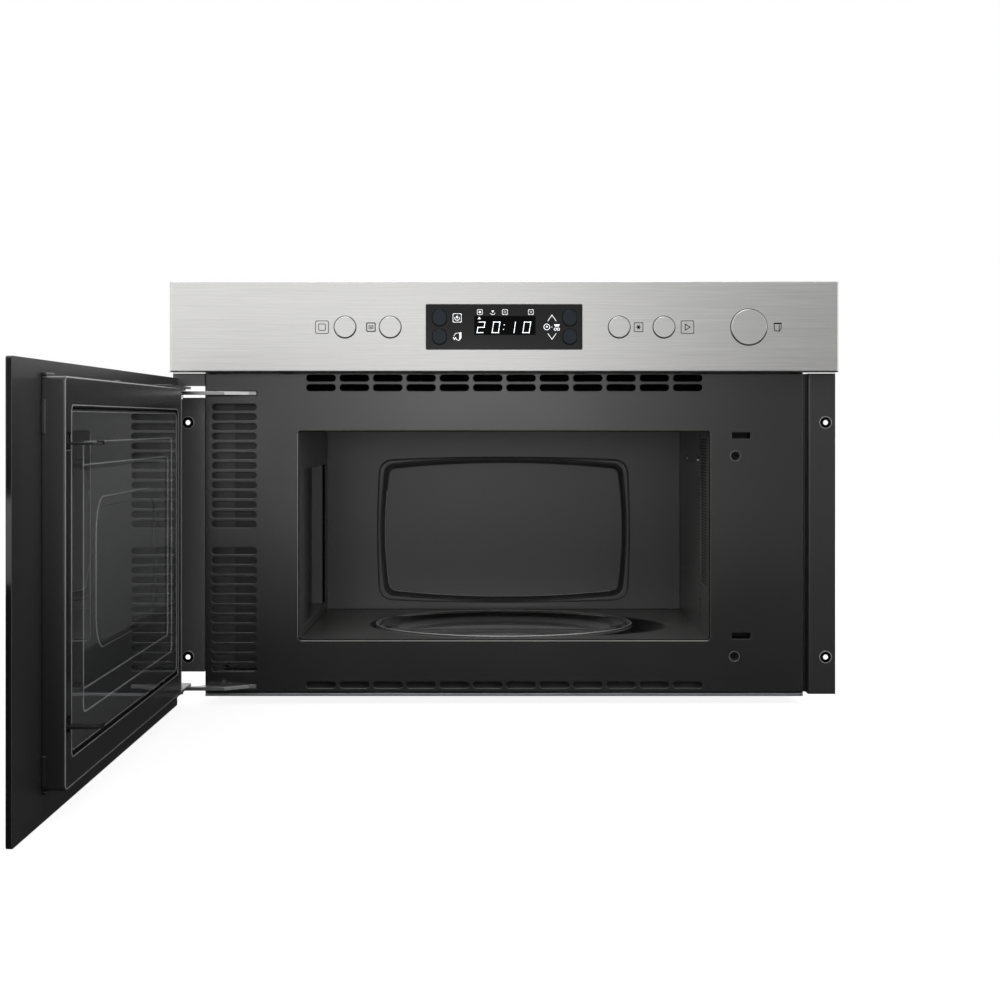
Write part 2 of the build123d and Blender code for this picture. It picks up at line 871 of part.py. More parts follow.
def transformer_core():
    """Laminated steel core of the high-voltage transformer, on its foot plate."""
    x = transformer_x
    half = core_width / 2
    d0 = transformer_depth - core_length / 2
    d1 = transformer_depth + core_length / 2
    core = slab(x - half, x + half, d0, d1, deck_top + core_foot, core_top)
    near = core_leg / 2
    far = half - core_side
    for z in core_window_zs:
        core = core - slab(x - far, x - near, d0 - cut, d1 + cut, z, z + core_window)
        core = core - slab(x + near, x + far, d0 - cut, d1 + cut, z, z + core_window)
    reach = half + core_foot_reach
    inset = core_foot_inset
    return core + slab(x - reach, x + reach, d0 + inset, d1 - inset, deck_top, deck_top + core_foot)


def transformer_windings():
    """Primary and secondary coils round the middle leg."""
    x = transformer_x
    half = core_width / 2 - core_side - coil_gap
    near = core_leg / 2 + coil_gap / 2
    d0 = transformer_depth - core_length / 2
    d1 = transformer_depth + core_length / 2
    coils = []
    for window in core_window_zs:
        z0 = window + coil_gap
        z1 = window + core_window - coil_gap
        ring = slab(x - half, x + half, d0 - coil_reach, d1 + coil_reach, z0, z1)
        leg = slab(x - near, x + near, d0 - coil_gap / 2, d1 + coil_gap / 2, z0 - cut, z1 + cut)
        coils.append(ring - leg)
    return group(coils)


capacitor_x = 157.0
capacitor_depth = 225.0
capacitor_width = 54.0
capacitor_thickness = 30.0
capacitor_top = 318.0
capacitor_terminal = (6.0, 0.8, 9.0)
capacitor_terminal_offset = 12.0
clamp_reach = 2.0
clamp_top = 270.0


def hv_capacitor():
    """Flat can with two terminals, and the clamp that holds it to the deck."""
    x = capacitor_x
    d = capacitor_depth
    section = Pos(x, back(d)) * SlotOverall(capacitor_width, capacitor_thickness)
    can = prism_z(section, deck_top, capacitor_top)
    wide, thick, tall = capacitor_terminal
    for side in (-1, 1):
        middle = x + side * capacitor_terminal_offset
        can = can + slab(middle - wide / 2, middle + wide / 2, d - thick / 2, d + thick / 2,
                         capacitor_top, capacitor_top + tall)
    reach = capacitor_width / 2 + clamp_reach
    front = d - capacitor_thickness / 2
    return can + slab(x - reach, x + reach, front - deck_sheet, front, deck_top, clamp_top)


def fan_shroud():
    """Square plate with a ring round the fan, on two feet."""
    half = fan_ring + 5
    d0 = fan_front - 6
    d1 = fan_front + fan_length + 6
    top = min(fan_z + half, top_inner - 3)
    plate = slab(fan_x - half, fan_x + half, d0, d0 + 2, fan_z - half, top)
    ring = rod_y(fan_x, fan_z, d0, d1, fan_ring + 2)
    body = plate + ring - rod_y(fan_x, fan_z, d0 - cut, d1 + cut, fan_ring)
    for offset in shroud_foot_offsets:
        x = fan_x + offset
        body = body + slab(x, x + shroud_foot, d0, d0 + 2, deck_top, fan_z - half)
    for turn in (45, 135, 225, 315):
        bar = slab(fan_x + 15, fan_x + fan_ring + 1, d0 - 3, d0, fan_z - 2, fan_z + 2)
        body = body + turn_y(bar, turn, fan_x, fan_z)
    return body


def turn_y(shape, angle, x, z):
    """Turn a shape about an axis along Y."""
    return Pos(x, 0, z) * Rot(0, angle, 0) * Pos(-x, 0, -z) * shape


def turn_z(shape, angle, x, y):
    """Turn a shape about an upright axis."""
    return Pos(x, y, 0) * Rot(0, 0, angle) * Pos(-x, -y, 0) * shape


def fan_motor():
    """Shaded-pole motor held by the shroud's arms."""
    d1 = fan_front - 9
    d0 = d1 - 24
    stack = slab(fan_x - 22, fan_x + 22, d0 + 4, d1 - 4, fan_z - 22, fan_z + 22)
    caps = rod_y(fan_x, fan_z, d0, d1, 17)
    return stack + caps - rod_y(fan_x, fan_z, d1 - 8, d1 + cut, fan_shaft + 0.05)


def fan_impeller():
    """Axial fan with its shaft."""
    d0 = fan_front
    d1 = fan_front + fan_length
    hub = rod_y(fan_x, fan_z, d0, d1, fan_hub)
    hub = hub + rod_y(fan_x, fan_z, d0 - 16, d0, fan_shaft)
    blade = slab(fan_x + fan_hub - 2, fan_x + fan_radius, -1, 1, fan_z - 12, fan_z + 12)
    blade = Pos(0, fan_front + fan_length / 2, 0) * blade
    middle = back(fan_front + fan_length / 2)
    pitched = Pos(fan_x, middle, fan_z) * Rot(35, 0, 0) * Pos(-fan_x, -middle, -fan_z) * blade
    blades = [turn_y(pitched, index * 360 / fan_blades, fan_x, fan_z) for index in range(fan_blades)]
    return join([hub] + blades)


power_board_area = (130.0, 250.0, 60.0, 150.0)
filter_board_area = (200.0, 255.0, 228.0, 288.0)
stand_off = 8.0
stand_off_radius = 3.0
stand_off_inset = 6.0
relay_places = ((140.0, 70.0), (160.0, 70.0), (180.0, 70.0), (140.0, 120.0))
relay_size = (15.0, 18.0, 15.4)
supply_box = (200.0, 236.0, 90.0, 130.0, 27.4)
supply_can = (190.0, 120.0, 9.0, 23.4)
choke = (222.0, 250.0, 11.0, 15.4)
filter_box = (236.0, 250.0, 240.0, 270.0, 17.4)
fuse_box = (205.0, 232.0, 272.0, 282.0, 9.4)


def board_face():
    """Height of the upper face of the boards above the deck."""
    return deck_top + stand_off + board_thickness


def raised_board(area):
    """Board on four stand-offs above the deck."""
    x0, x1, d0, d1 = area
    board = slab(x0, x1, d0, d1, deck_top + stand_off, board_face())
    inset = stand_off_inset
    for x in (x0 + inset, x1 - inset):
        for d in (d0 + inset, d1 - inset):
            board = board + rod_z(x, back(d), deck_top, deck_top + stand_off, stand_off_radius)
    return board


def box_on_board(place):
    """Square component: its two X, two depths and height."""
    x0, x1, d0, d1, tall = place
    return slab(x0, x1, d0, d1, board_face(), board_face() + tall)


def can_on_board(place):
    """Round component: its X, depth, radius and height."""
    x, d, radius, tall = place
    return rod_z(x, back(d), board_face(), board_face() + tall, radius)


def power_board():
    """Relay and supply board on four stand-offs."""
    board = raised_board(power_board_area)
    wide, deep, tall = relay_size
    for x, d in relay_places:
        board = board + box_on_board((x, x + wide, d, d + deep, tall))
    return board + box_on_board(supply_box) + can_on_board(supply_can)


def filter_board():
    """Mains filter: board, choke, fuse holder and capacitor."""
    board = raised_board(filter_board_area)
    return board + can_on_board(choke) + box_on_board(filter_box) + box_on_board(fuse_box)


lamp_depth = 57.0
lamp_z = 213.0
lamp_bulb = 10.0
lamp_base = 7.0
lamp_stand = 7.0
lamp_socket = 38.0


def lamp_holder():
    """Plastic socket that stands off the cavity's right wall."""
    x0 = cavity_half_width + liner_sheet + grille_sheet
    holder = slab(x0, x0 + 4, lamp_depth - 20, lamp_depth + 20, lamp_z - 17, lamp_z + 17)
    holder = holder + rod_x(back(lamp_depth), lamp_z, x0 + 4, x0 + lamp_socket + 8, 15)
    holder = holder - rod_x(back(lamp_depth), lamp_z, x0 - cut, x0 + lamp_socket, 13)
    return holder


def cavity_lamp():
    """Small bulb with its screw base."""
    x0 = cavity_half_width + liner_sheet + grille_sheet
    middle = x0 + lamp_bulb + lamp_stand
    neck = middle + math.sqrt(lamp_bulb ** 2 - lamp_base ** 2)
    points = ((middle - lamp_bulb, 0), (middle, lamp_bulb), (neck, lamp_base))
    glass = ThreePointArc(points[0], points[1], points[2])
    rest = Polyline(points[2], (x0 + lamp_socket, lamp_base), (x0 + lamp_socket, 0), points[0])
    section = make_face([glass, rest])
    return Pos(0, back(lamp_depth), lamp_z) * revolve(section, axis=Axis.X)


# Door interlock

housing_from_hook_left = 10.3
housing_from_hook_right = 10.7
housing_left = hook_x - housing_from_hook_left
housing_right = hook_x + housing_from_hook_right
housing_depth = 32.0
housing_bottom = 30.0
housing_top = 262.0
housing_wall = 2.0
lever_pivot_depth = 12.0
lever_pivot_z = 300.0
lever_width = 8.0
lever_pin = 2.0
lever_gap = 0.2
lever_low = 268.0
lever_clearance = 0.4
cheek = 3.0
housing_floor_front = 7.0
housing_pocket = (14.0, 70.0, 222.0)
interlock_zs = (90.0, 140.0, 190.0)
interlock_height = 18.0


def latch_housing():
    """Plastic column behind the hook slots, with the hooks' pockets and the lever's pivot."""
    x0 = housing_left
    x1 = housing_right
    body = slab(x0, x1, frame_sheet, housing_depth, housing_bottom, housing_top)
    for z in hook_zs:
        body = body - slab(hook_x - hook_slot_width / 2 + 0.2, hook_x + hook_slot_width / 2 - 0.2,
                           0, hook_reach + 4, z - hook_slot_height / 2 - 0.6, z + hook_slot_height / 2 + 0.6)
    front, bottom, top = housing_pocket
    body = body - slab(x0 + housing_wall, x1 + cut, front, housing_depth - housing_wall, bottom, top)
    for x, z in dimple_places:
        body = body - rod_y(x, z, 0, dimple_depth + 6, dimple_dia / 2 + 1)
    near = lever_width / 2 + lever_clearance
    far = near + cheek
    d0 = housing_floor_front
    for side in (-1, 1):
        a, b = sorted((door_button_x + side * near, door_button_x + side * far))
        body = body + slab(a, b, d0, d0 + 10, housing_top, lever_pivot_z + 5)
    body = body + slab(min(x0, door_button_x - far), max(x1, door_button_x + far), d0,
                       housing_depth - housing_wall, housing_top - 2 * housing_wall, housing_top)
    pin = rod_x(back(lever_pivot_depth), lever_pivot_z, door_button_x - far, door_button_x + far, lever_pin)
    return body + pin


def release_lever():
    """Rocker that carries the door button's push to the latch."""
    x0 = door_button_x - lever_width / 2
    x1 = door_button_x + lever_width / 2
    boss = rod_x(back(lever_pivot_depth), lever_pivot_z, x0, x1, 5)
    contact = stem_reach + lever_gap
    arm = slab(x0, x1, contact, contact + 4, lever_pivot_z, button_z + 4)
    low = slab(x0, x1, contact, contact + 4, lever_low, lever_pivot_z)
    toe = slab(x0, x1, contact, contact + 12, lever_low, lever_low + 3)
    body = boss + arm + low + toe
    return body - rod_x(back(lever_pivot_depth), lever_pivot_z, x0 - cut, x1 + cut, lever_pin + pin_fit)


def microswitches():
    """Three interlock switches inside the latch housing."""
    bodies = []
    front = housing_pocket[0] + 1
    for z in interlock_zs:
        body = slab(housing_left + housing_wall + 0.3, housing_right - 2, front, front + 13,
                    z, z + interlock_height)
        middle = z + interlock_height / 2
        body = body + slab(housing_left + housing_wall + 3, housing_right - 5, front + 13, front + 15,
                           middle - 1, middle + 1)
        bodies.append(body)
    return group(bodies)


# Turntable


def drive_coupler():
    """Three-armed coupler and the motor shaft that it is pressed on."""
    y = back(well_y)
    floor = cavity_bottom - well_depth
    top = plate_bottom - wheel_gap
    body = rod_z(0, y, floor + 1.2, top, coupler_hub)
    for index in range(3):
        arm = block(0, coupler_arm, y - coupler_arm_width / 2, y + coupler_arm_width / 2,
                    floor + 1.2, top - 4)
        body = body + turn_z(arm, index * 120, 0, y)
    return body + rod_z(0, y, motor_top() - 6, floor + 1.2, coupler_stem)


def motor_top():
    """Height of the turntable motor's mounting face under the well."""
    return cavity_bottom - well_depth - liner_sheet


def turntable_motor():
    """Flat synchronous motor with its mounting ears."""
    y = back(well_y)
    top = motor_top()
    can = rod_z(0, y, top - 2 - motor_height, top - 2, motor_radius)
    ears = prism_z(Pos(0, y) * SlotOverall(2 * motor_radius + 22, 14), top - 2, top)
    boss = rod_z(0, y, top - 2, top, 9)
    bore = rod_z(0, y, top - 7, top + cut, coupler_stem + pin_fit)
    plug = slab(-8, 8, well_y + motor_radius - 3, well_y + motor_radius + 8, top - 12, top - 4)
    return can + ears + boss + plug - bore


def turntable_glass():
    """Glass plate: flat middle, raised ramp and rim, with three pegs underneath."""
    y = back(well_y)
    bottom = plate_bottom
    glass = plate_glass
    rise = plate_rim_top - glass - bottom
    points = [(0, bottom), (plate_flat_radius, bottom), (plate_ramp_radius, bottom + rise),
              (plate_radius, bottom + rise), (plate_radius, plate_rim_top),
              (plate_ramp_radius - 1.5, plate_rim_top), (plate_flat_radius - 1.5, bottom + glass),
              (0, bottom + glass)]
    section = Plane.XZ * outline(points)
    corners = [v for v in section.vertices() if v.X > plate_flat_radius - 5]
    section = fillet(corners, 1.2)
    dish = Pos(0, y, 0) * revolve(section, axis=Axis.Z)
    pegs = []
    for index in range(3):
        peg = rod_z(peg_ring, y, bottom - peg_height, bottom, peg_radius)
        pegs.append(turn_z(peg, 60 + index * 120, 0, y))
    return join([dish] + pegs)


def roller_ring():
    """Ring that carries the wheels, with a stub axle for each."""
    y = back(well_y)
    axle_z = cavity_bottom - well_depth + wheel_gap + wheel_radius
    z0 = axle_z - ring_height / 2
    z1 = z0 + ring_height
    ring = rod_z(0, y, z0, z1, ring_outer) - rod_z(0, y, z0 - cut, z1 + cut, ring_inner)
    out = wheel_ring + wheel_width / 2
    for index in range(wheel_count):
        axle = rod_x(y, axle_z, ring_outer - 2, out + 1.6, axle_radius)
        cap = rod_x(y, axle_z, out + 0.6, out + 1.6, axle_radius + 1.2)
        ring = ring + turn_z(axle + cap, index * 360 / wheel_count, 0, y)
    return ring


def roller_wheel(index):
    """One wheel of the roller ring."""
    y = back(well_y)
    axle_z = cavity_bottom - well_depth + wheel_gap + wheel_radius
    x0 = wheel_ring - wheel_width / 2
    x1 = wheel_ring + wheel_width / 2
    wheel = rod_x(y, axle_z, x0, x1, wheel_radius)
    wheel = fillet(wheel.edges(), 0.8)
    wheel = wheel - rod_x(y, axle_z, x0 - cut, x1 + cut, axle_radius + pin_fit)
    return turn_z(wheel, index * 360 / wheel_count, 0, y)


# Control panel

panel_front = -front_reach
carrier_front = -front_reach + fascia_sheet
carrier_plate_back = carrier_front + carrier_wall
board_front = -board_depth_front
board_back = -board_depth_front + board_thickness


def window_shape(grow):
    """Outline of the display window."""
    half = window_width / 2 + grow
    return rect(-half, half, window_bottom - grow, window_top + grow, 1.0)


def key_shape(column, row, grow):
    """Outline of one key: the upper keys have a round top, the lower ones a round bottom."""
    tall = key_tall if row == 0 else key_short
    x = key_xs[column]
    z = key_zs[row]
    half = key_width / 2 + grow
    return rect(x - half, x + half, z - tall / 2 - grow, z + tall / 2 + grow, key_width / 2 - 0.4 + grow)


def button_places():
    """X and radius of each round button."""
    places = [(x, small_button_dia / 2) for x in small_button_xs]
    return places + [(door_button_x, door_button_dia / 2)]


def panel_fascia():
    """Brushed stainless front of the control panel, folded back on all sides."""
    x = front_half
    d0 = panel_front
    d1 = panel_front + fascia_depth
    outer = slab(-x, x, d0, d1, panel_bottom, panel_top)
    front_edges = outer.edges().group_by(Axis.Y)[0]
    outer = fillet(front_edges, fascia_edge_radius)
    s = fascia_sheet
    body = outer - slab(-x + s, x - s, d0 + s, d1 + cut, panel_bottom + s, panel_top - s)
    for bx, radius in button_places():
        body = body - rod_y(bx, button_z, d0 - cut, d0 + s + cut, radius + button_gap)
    return body - prism_y(window_shape(window_gap), d0 - cut, d0 + s + cut)


foot_xs = (-262.0, -196.0, -70.0, 70.0, 180.0, 262.0)


def panel_carrier():
    """Moulded tray behind the fascia: it holds the window, keys, buttons and board."""
    g = fascia_sheet + carrier_gap
    x0 = -front_half + g
    x1 = front_half - g
    body = tray(x0, x1, carrier_front, carrier_front + carrier_depth, panel_bottom + g, panel_top - g,
                carrier_wall)
    back_end = carrier_plate_back
    for bx, radius in button_places():
        tube_end = board_front - 1.0 if radius < 12 else carrier_front + carrier_depth
        tube = rod_y(bx, button_z, back_end, tube_end, radius + button_gap + 1.2)
        body = body + tube - rod_y(bx, button_z, carrier_front - cut, tube_end + cut, radius + button_gap)
    body = body - slab(lcd_left, lcd_right, carrier_front - cut, back_end + cut, lcd_bottom, lcd_top)
    for column in range(2):
        for row in range(2):
            body = body - prism_y(key_shape(column, row, button_gap), carrier_front - cut, back_end + cut)
    for x in foot_xs:
        z0 = board_top + 1.0
        body = body + slab(x - 4, x + 4, back_end, frame_sheet, z0, z0 + 4)
        body = body + slab(x - 4, x + 4, back_end, frame_sheet, panel_bottom + g, panel_bottom + g + 5)
    for x in (-170.0, 170.0):
        for z in (board_bottom + 6, board_top - 6):
            body = body + rod_y(x, z, back_end, board_front, 3)
    return body


def display_window():
    """Black gloss window with openings for the keys."""
    plate = prism_y(window_shape(0), panel_front - window_proud, carrier_front)
    for column in range(2):
        for row in range(2):
            opening = key_shape(column, row, button_gap)
            plate = plate - prism_y(opening, panel_front - cut, carrier_front + cut)
    return plate


def display_module():
    """Numeric display behind the window."""
    gap = lcd_gap
    return slab(lcd_left + gap, lcd_right - gap, carrier_front + gap / 2, board_front,
                lcd_bottom + gap, lcd_top - gap)


def switch_at(x, z):
    """Tactile switch on the front of the control board."""
    half = switch_size / 2
    return slab(x - half, x + half, board_front - switch_height, board_front, z - half, z + half)


def control_board():
    """Board behind the panel, with a switch behind each button and key."""
    board = slab(-board_half_width, board_half_width, board_front, board_back, board_bottom, board_top)
    for x in small_button_xs:
        board = board + switch_at(x, button_z)
    for x in key_xs:
        for z in key_zs:
            board = board + switch_at(x, z)
    board = board + slab(-30, 20, board_back, board_back + 6, 312, 332)
    return board


def small_button(x):
    """Round stainless push button with its stem."""
    front = panel_front - small_button_proud
    radius = small_button_dia / 2
    cap = rod_y(x, button_z, front, front + 3, radius)
    edge = cap.edges().group_by(Axis.Y)[0]
    cap = fillet(edge, 0.6)
    skirt = rod_y(x, button_z, front + 3, board_front - switch_height - small_button_travel - 1, radius)
    hollow = rod_y(x, button_z, front + 3, board_front, radius - button_skin)
    stem_end = board_front - switch_height - small_button_travel - 0.1
    stem = rod_y(x, button_z, front + 3, stem_end, 2.5)
    return cap + (skirt - hollow) + stem


def door_button():
    """Large round push button whose stem reaches back to the release lever."""
    front = panel_front - door_button_proud
    radius = door_button_dia / 2
    x = door_button_x
    cap = rod_y(x, button_z, front, front + 3, radius)
    cap = fillet(cap.edges().group_by(Axis.Y)[0], 0.7)
    skirt_end = front + 8.6
    skirt = rod_y(x, button_z, front + 3, skirt_end, radius)
    hollow = rod_y(x, button_z, front + 3, skirt_end + cut, radius - button_skin)
    nose = stem_reach - door_stem_nose
    stem = rod_y(x, button_z, front + 3, nose, door_button_stem / 2)
    stem = stem + cone_y(x, button_z, nose, stem_reach, door_button_stem / 2, door_stem_nose)
    return cap + (skirt - hollow) + stem


def key(column, row):
    """Small dark key that shows through the display window."""
    front = panel_front - window_proud - key_proud
    x = key_xs[column]
    z = key_zs[row]
    collar_front = carrier_plate_back + 0.05
    body = prism_y(key_shape(column, row, 0), front, collar_front)
    body = fillet(body.edges().group_by(Axis.Y)[0], 0.6)
    collar = prism_y(key_shape(column, row, 0.9), collar_front, collar_front + 1)
    stem_end = board_front - switch_height - key_travel - 0.1
    stem = rod_y(x, z, collar_front + 1, stem_end, 2.2)
    return body + collar + stem


# Hinges


def hinge_plan():
    """Plan outline of one hinge plate: ear round the pin, slanted arm and tail inside the body."""
    ear = hinge_ear
    front = -hinge_front - ear
    rear = -hinge_front + ear
    clear = -door_back_gap + 0.6
    slot_l = hinge_slot_left + 0.6
    slot_r = hinge_slot_right - 0.6
    tail_l = slot_l + 3.4
    tail_r = slot_r - 3.0
    near, middle, far = [hinge_x + reach for reach in hinge_slant]
    corners = [(hinge_x, front), (middle, front), (far, clear), (slot_r, clear),
               (slot_r, frame_sheet + 0.5), (tail_r, frame_sheet + 0.5), (tail_r, hinge_tail),
               (tail_l, hinge_tail), (tail_l, frame_sheet + 0.5), (slot_l, frame_sheet + 0.5),
               (slot_l, clear), (near, rear), (hinge_x, rear)]
    plan = outline([(x, back(d)) for x, d in corners])
    return plan + Pos(hinge_x, back(-hinge_front)) * Circle(ear)


def hinge_plates():
    """Top and bottom steel hinge plates, each with a tab bent up inside the body."""
    plates = []
    tail_l = hinge_slot_left + 4.0
    for z0, z1 in (hinge_z_top, hinge_z_bottom):
        plate = prism_z(hinge_plan(), z0, z1)
        tab = slab(tail_l, tail_l + hinge_tab_width, hinge_tail - hinge_tab_sheet, hinge_tail,
                   z1, z1 + hinge_tab)
        hole = rod_z(hinge_x, back(-hinge_front), z0 - cut, z1 + cut, pin_radius + pin_press)
        plate = plate + tab - hole
        plates.append(plate)
    return group(plates)


def hinge_pins():
    """Pins that stand in the hinge plates and turn in the door's bushes."""
    axis_y = back(-hinge_front)
    top = rod_z(hinge_x, axis_y, hinge_z_top[0] - 4.0, door_top + bracket_thickness, pin_radius)
    low = rod_z(hinge_x, axis_y, hinge_z_bottom[0] - 3.8, door_bottom, pin_radius)
    return group([top, low])


# Door, built where it stands when closed and then swung open

door_front = -front_reach
glass_back = -front_reach + glass_thickness
door_back = -door_back_gap
bracket_front = glass_back + 0.1


def door_glass():
    """Black glass pane, the whole width of the oven."""
    pane = slab(-front_half, front_half, door_front, glass_back, glass_bottom, glass_top)
    pane = fillet(pane.edges().filter_by(Axis.Y), 1.5)
    return swing_open(chamfer(pane.edges().group_by(Axis.Y)[0], 0.5))


def pane_rect(grow):
    """Outline of the inner pane."""
    return rect(pane_left - grow, pane_right + grow, pane_bottom - grow, pane_top + grow, pane_radius + grow)


def inside_pane(insets):
    """Left, right, bottom and top of an area set in from the pane's edges."""
    left, right, bottom, top = insets
    return pane_left + left, pane_right - right, pane_bottom + bottom, pane_top - top


def pane_depths():
    """Front and back depth of the inner pane."""
    rear = door_back - pane_recess
    return rear - pane_thickness, rear


def hook_windows():
    """Openings in the door frame for the two hooks."""
    tools = []
    for z in hook_zs:
        middle = z - hook_slot_height / 2 + 0.35 + (hook_plate + hook_tip + hook_travel) / 2
        half = hook_window_height / 2
        tools.append(rect(hook_x - hook_width / 2 - 0.8, hook_x + hook_width / 2 + 0.8,
                          middle - half, middle + half, 0.8))
    return tools


def door_frame():
    """Black painted inner frame with a ledge for the pane and windows for the hooks."""
    w = door_wall
    outer = slab(door_left, door_right, glass_back, door_back, door_bottom, door_top)
    corner_edges = outer.edges().filter_by(Axis.Y)
    outer = fillet(corner_edges, 2.0)
    rear_edges = outer.edges().group_by(Axis.Y)[-1]
    outer = fillet(rear_edges, 0.9)
    inner = slab(door_left + w, door_right - w, glass_back - cut, door_back - w,
                 door_bottom + w, door_top - w)
    body = outer - inner
    pane_front, pane_back = pane_depths()
    ledge = prism_y(pane_rect(1.2) - pane_rect(-pane_ledge), pane_front - w, pane_front)
    rim = prism_y(pane_rect(1.2) - pane_rect(pane_gap), pane_front, door_back - w)
    body = body - prism_y(pane_rect(pane_gap), pane_front, door_back + cut)
    body = body + ledge + rim
    return swing_open(body - prism_y(Sketch() + hook_windows(), door_back - w - cut, door_back + cut))


def door_pane():
    """Clear inner pane that covers the screen."""
    d0, d1 = pane_depths()
    return swing_open(prism_y(pane_rect(0), d0, d1))


def door_screen():
    """Microwave screen: a sheet stepped down in two terraces round the perforated field."""
    s = screen_sheet
    pane_front = pane_depths()[0]
    base = pane_front - door_wall
    sheet_rect = rect(pane_left + 1, pane_right - 1, pane_bottom + 1, pane_top - 1, 4)
    outer = prism_y(sheet_rect, base - s, base)
    inner = None
    depth = base
    for insets in screen_insets:
        left, right, bottom, top = inside_pane(insets)
        floor = depth - screen_step
        radius = screen_corner
        outer = outer + prism_y(rect(left - s, right + s, bottom - s, top + s, radius + s), floor - s, base)
        hole = prism_y(rect(left, right, bottom, top, radius), floor, base + cut)
        inner = hole if inner is None else inner + hole
        depth = floor
    body = outer - inner
    left, right, bottom, top = inside_pane(screen_bead_inset)
    r = screen_bead_radius
    w = screen_bead_width
    bead = rect(left, right, bottom, top, r) - rect(left + w, right - w, bottom + w, top - w, r - w)
    rim = prism_y(bead, depth, depth + screen_bead_height)
    crest = rim.edges().group_by(Axis.Y)[-1]
    return swing_open(body + chamfer(crest, screen_bead_slope))


def door_brackets():
    """Top and bottom bars that carry the door on the hinge pins."""
    bars = []
    for z0 in (door_top, door_bottom - bracket_thickness):
        z1 = z0 + bracket_thickness
        bar = slab(bracket_left, bracket_right, bracket_front, -bracket_back, z0, z1)
        corner = bar.edges().filter_by(Axis.Z).sort_by(Axis.X)[0:2]
        bar = fillet(corner, 3.0)
        bar = bar - rod_z(hinge_x, back(-hinge_front), z0 - cut, z1 + cut, pin_radius + pin_fit + bush_wall)
        bars.append(swing_open(bar))
    return group(bars)


def hinge_bushes():
    """Nylon bushes in the brackets, with flanges that keep them off the hinge plates."""
    y = back(-hinge_front)
    r = pin_radius + pin_fit + bush_wall
    bore = pin_radius + pin_fit
    bushes = []
    top = rod_z(hinge_x, y, door_top, door_top + bracket_thickness, r)
    top = top + rod_z(hinge_x, y, hinge_z_top[1] + 0.3, door_top, r + 0.8)
    low = rod_z(hinge_x, y, door_bottom - bracket_thickness, door_bottom, r)
    low = low + rod_z(hinge_x, y, hinge_z_bottom[1] + 0.2, door_bottom - bracket_thickness, r + 0.8)
    for bush in (top, low):
        bush = bush - rod_z(hinge_x, y, 0, panel_bottom, bore)
        bushes.append(swing_open(bush))
    return group(bushes)


def door_clips():
    """Small clips that hold the inner frame to the glass."""
    tall = clip_height
    clips = []
    for x0, x1 in ((door_right - clip_end - clip_length, door_right - clip_end), clip_middle):
        clips.append(slab(x0, x1, glass_back, glass_back + clip_depth, door_top, door_top + tall))
        clips.append(slab(x0, x1, glass_back, glass_back + clip_depth, door_bottom - tall, door_bottom))
    for z0, z1 in clip_side_zs:
        clips.append(slab(door_right, door_right + tall, glass_back, glass_back + clip_depth, z0, z1))
    return group([swing_open(clip) for clip in clips])


def latch_hooks():
    """Sprung latch bar inside the door, with its two hooks."""
    x0 = hook_x - hook_width / 2
    x1 = hook_x + hook_width / 2
    bar_front = glass_back + 2.4
    bar_back = bar_front + 3.0
    bottom = min(hook_zs) - 8
    top = max(hook_zs) + 6
    body = slab(x0 + 0.5, x1 - 0.5, bar_front, bar_back, bottom, top)
    corners = [(x0, bar_front), (x1, bar_front), (x1, hook_reach - 5), (x1 - 4, hook_reach),
               (x0 + 1.5, hook_reach), (x0, hook_reach - 1.5)]
    for z in hook_zs:
        z0 = z - hook_slot_height / 2 + 0.35
        z1 = z0 + hook_plate
        body = body + prism_z(outline([(x, back(d)) for x, d in corners]), z0, z1)
        body = body + slab(x0 + 1.5, x1 - 4, hook_reach - 3.4, hook_reach, z1, z1 + hook_tip)
    return swing_open(body)


def screws():
    """Screws that show: two in the cavity's right wall and six in the rear cover."""
    solids = []
    wall_x = cavity_half_width
    for d in wall_screw_ys:
        head = rod_x(back(d), wall_screw_z, wall_x - 1.6, wall_x, 3.6)
        head = fillet(head.edges().group_by(Axis.X)[0], 1.0)
        solids.append(head + rod_x(back(d), wall_screw_z, wall_x, wall_x + 4.5, 1.6))
    for x, z in rear_screw_places():
        head = rod_y(x, z, body_depth, body_depth + case_screw_proud, case_screw_head / 2)
        head = fillet(head.edges().group_by(Axis.Y)[-1], 0.8)
        solids.append(head + rod_y(x, z, body_depth - 0.7, body_depth, case_screw_shank / 2 - 0.05))
    return group(solids)


def write_all():
    """Write every node."""
    plain = (front_frame, base_plate, outer_wrap, rear_cover, mains_gland, flange_left, flange_right,
             intake_baffle, cavity_liner, cavity_floor, air_grille, feed_cover, component_deck,
             waveguide, magnetron,
             transformer_core, transformer_windings, hv_capacitor, fan_shroud, fan_motor, fan_impeller,
             power_board, filter_board, lamp_holder, cavity_lamp, latch_housing, release_lever,
             microswitches, drive_coupler, turntable_motor, turntable_glass, roller_ring,
             panel_fascia, panel_carrier, display_window, display_module, control_board, door_button,
             hinge_plates, hinge_pins, door_glass, door_frame, door_pane, door_screen, door_brackets,
             hinge_bushes, door_clips, latch_hooks, screws)
    for make in plain:
        save(make.__name__, make())
    for index in range(wheel_count):
        save("roller_wheel_" + str(index + 1), roller_wheel(index))
    for name, x in zip(small_button_names, small_button_xs):
        save(name, small_button(x))
    for column in range(2):
        for row in range(2):
            save(key_names[column][row], key(column, row))


write_all()
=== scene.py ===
"""A built-in microwave with its door open, dressed for a studio picture."""
import logging
import math
from dataclasses import dataclass
from enum import Enum

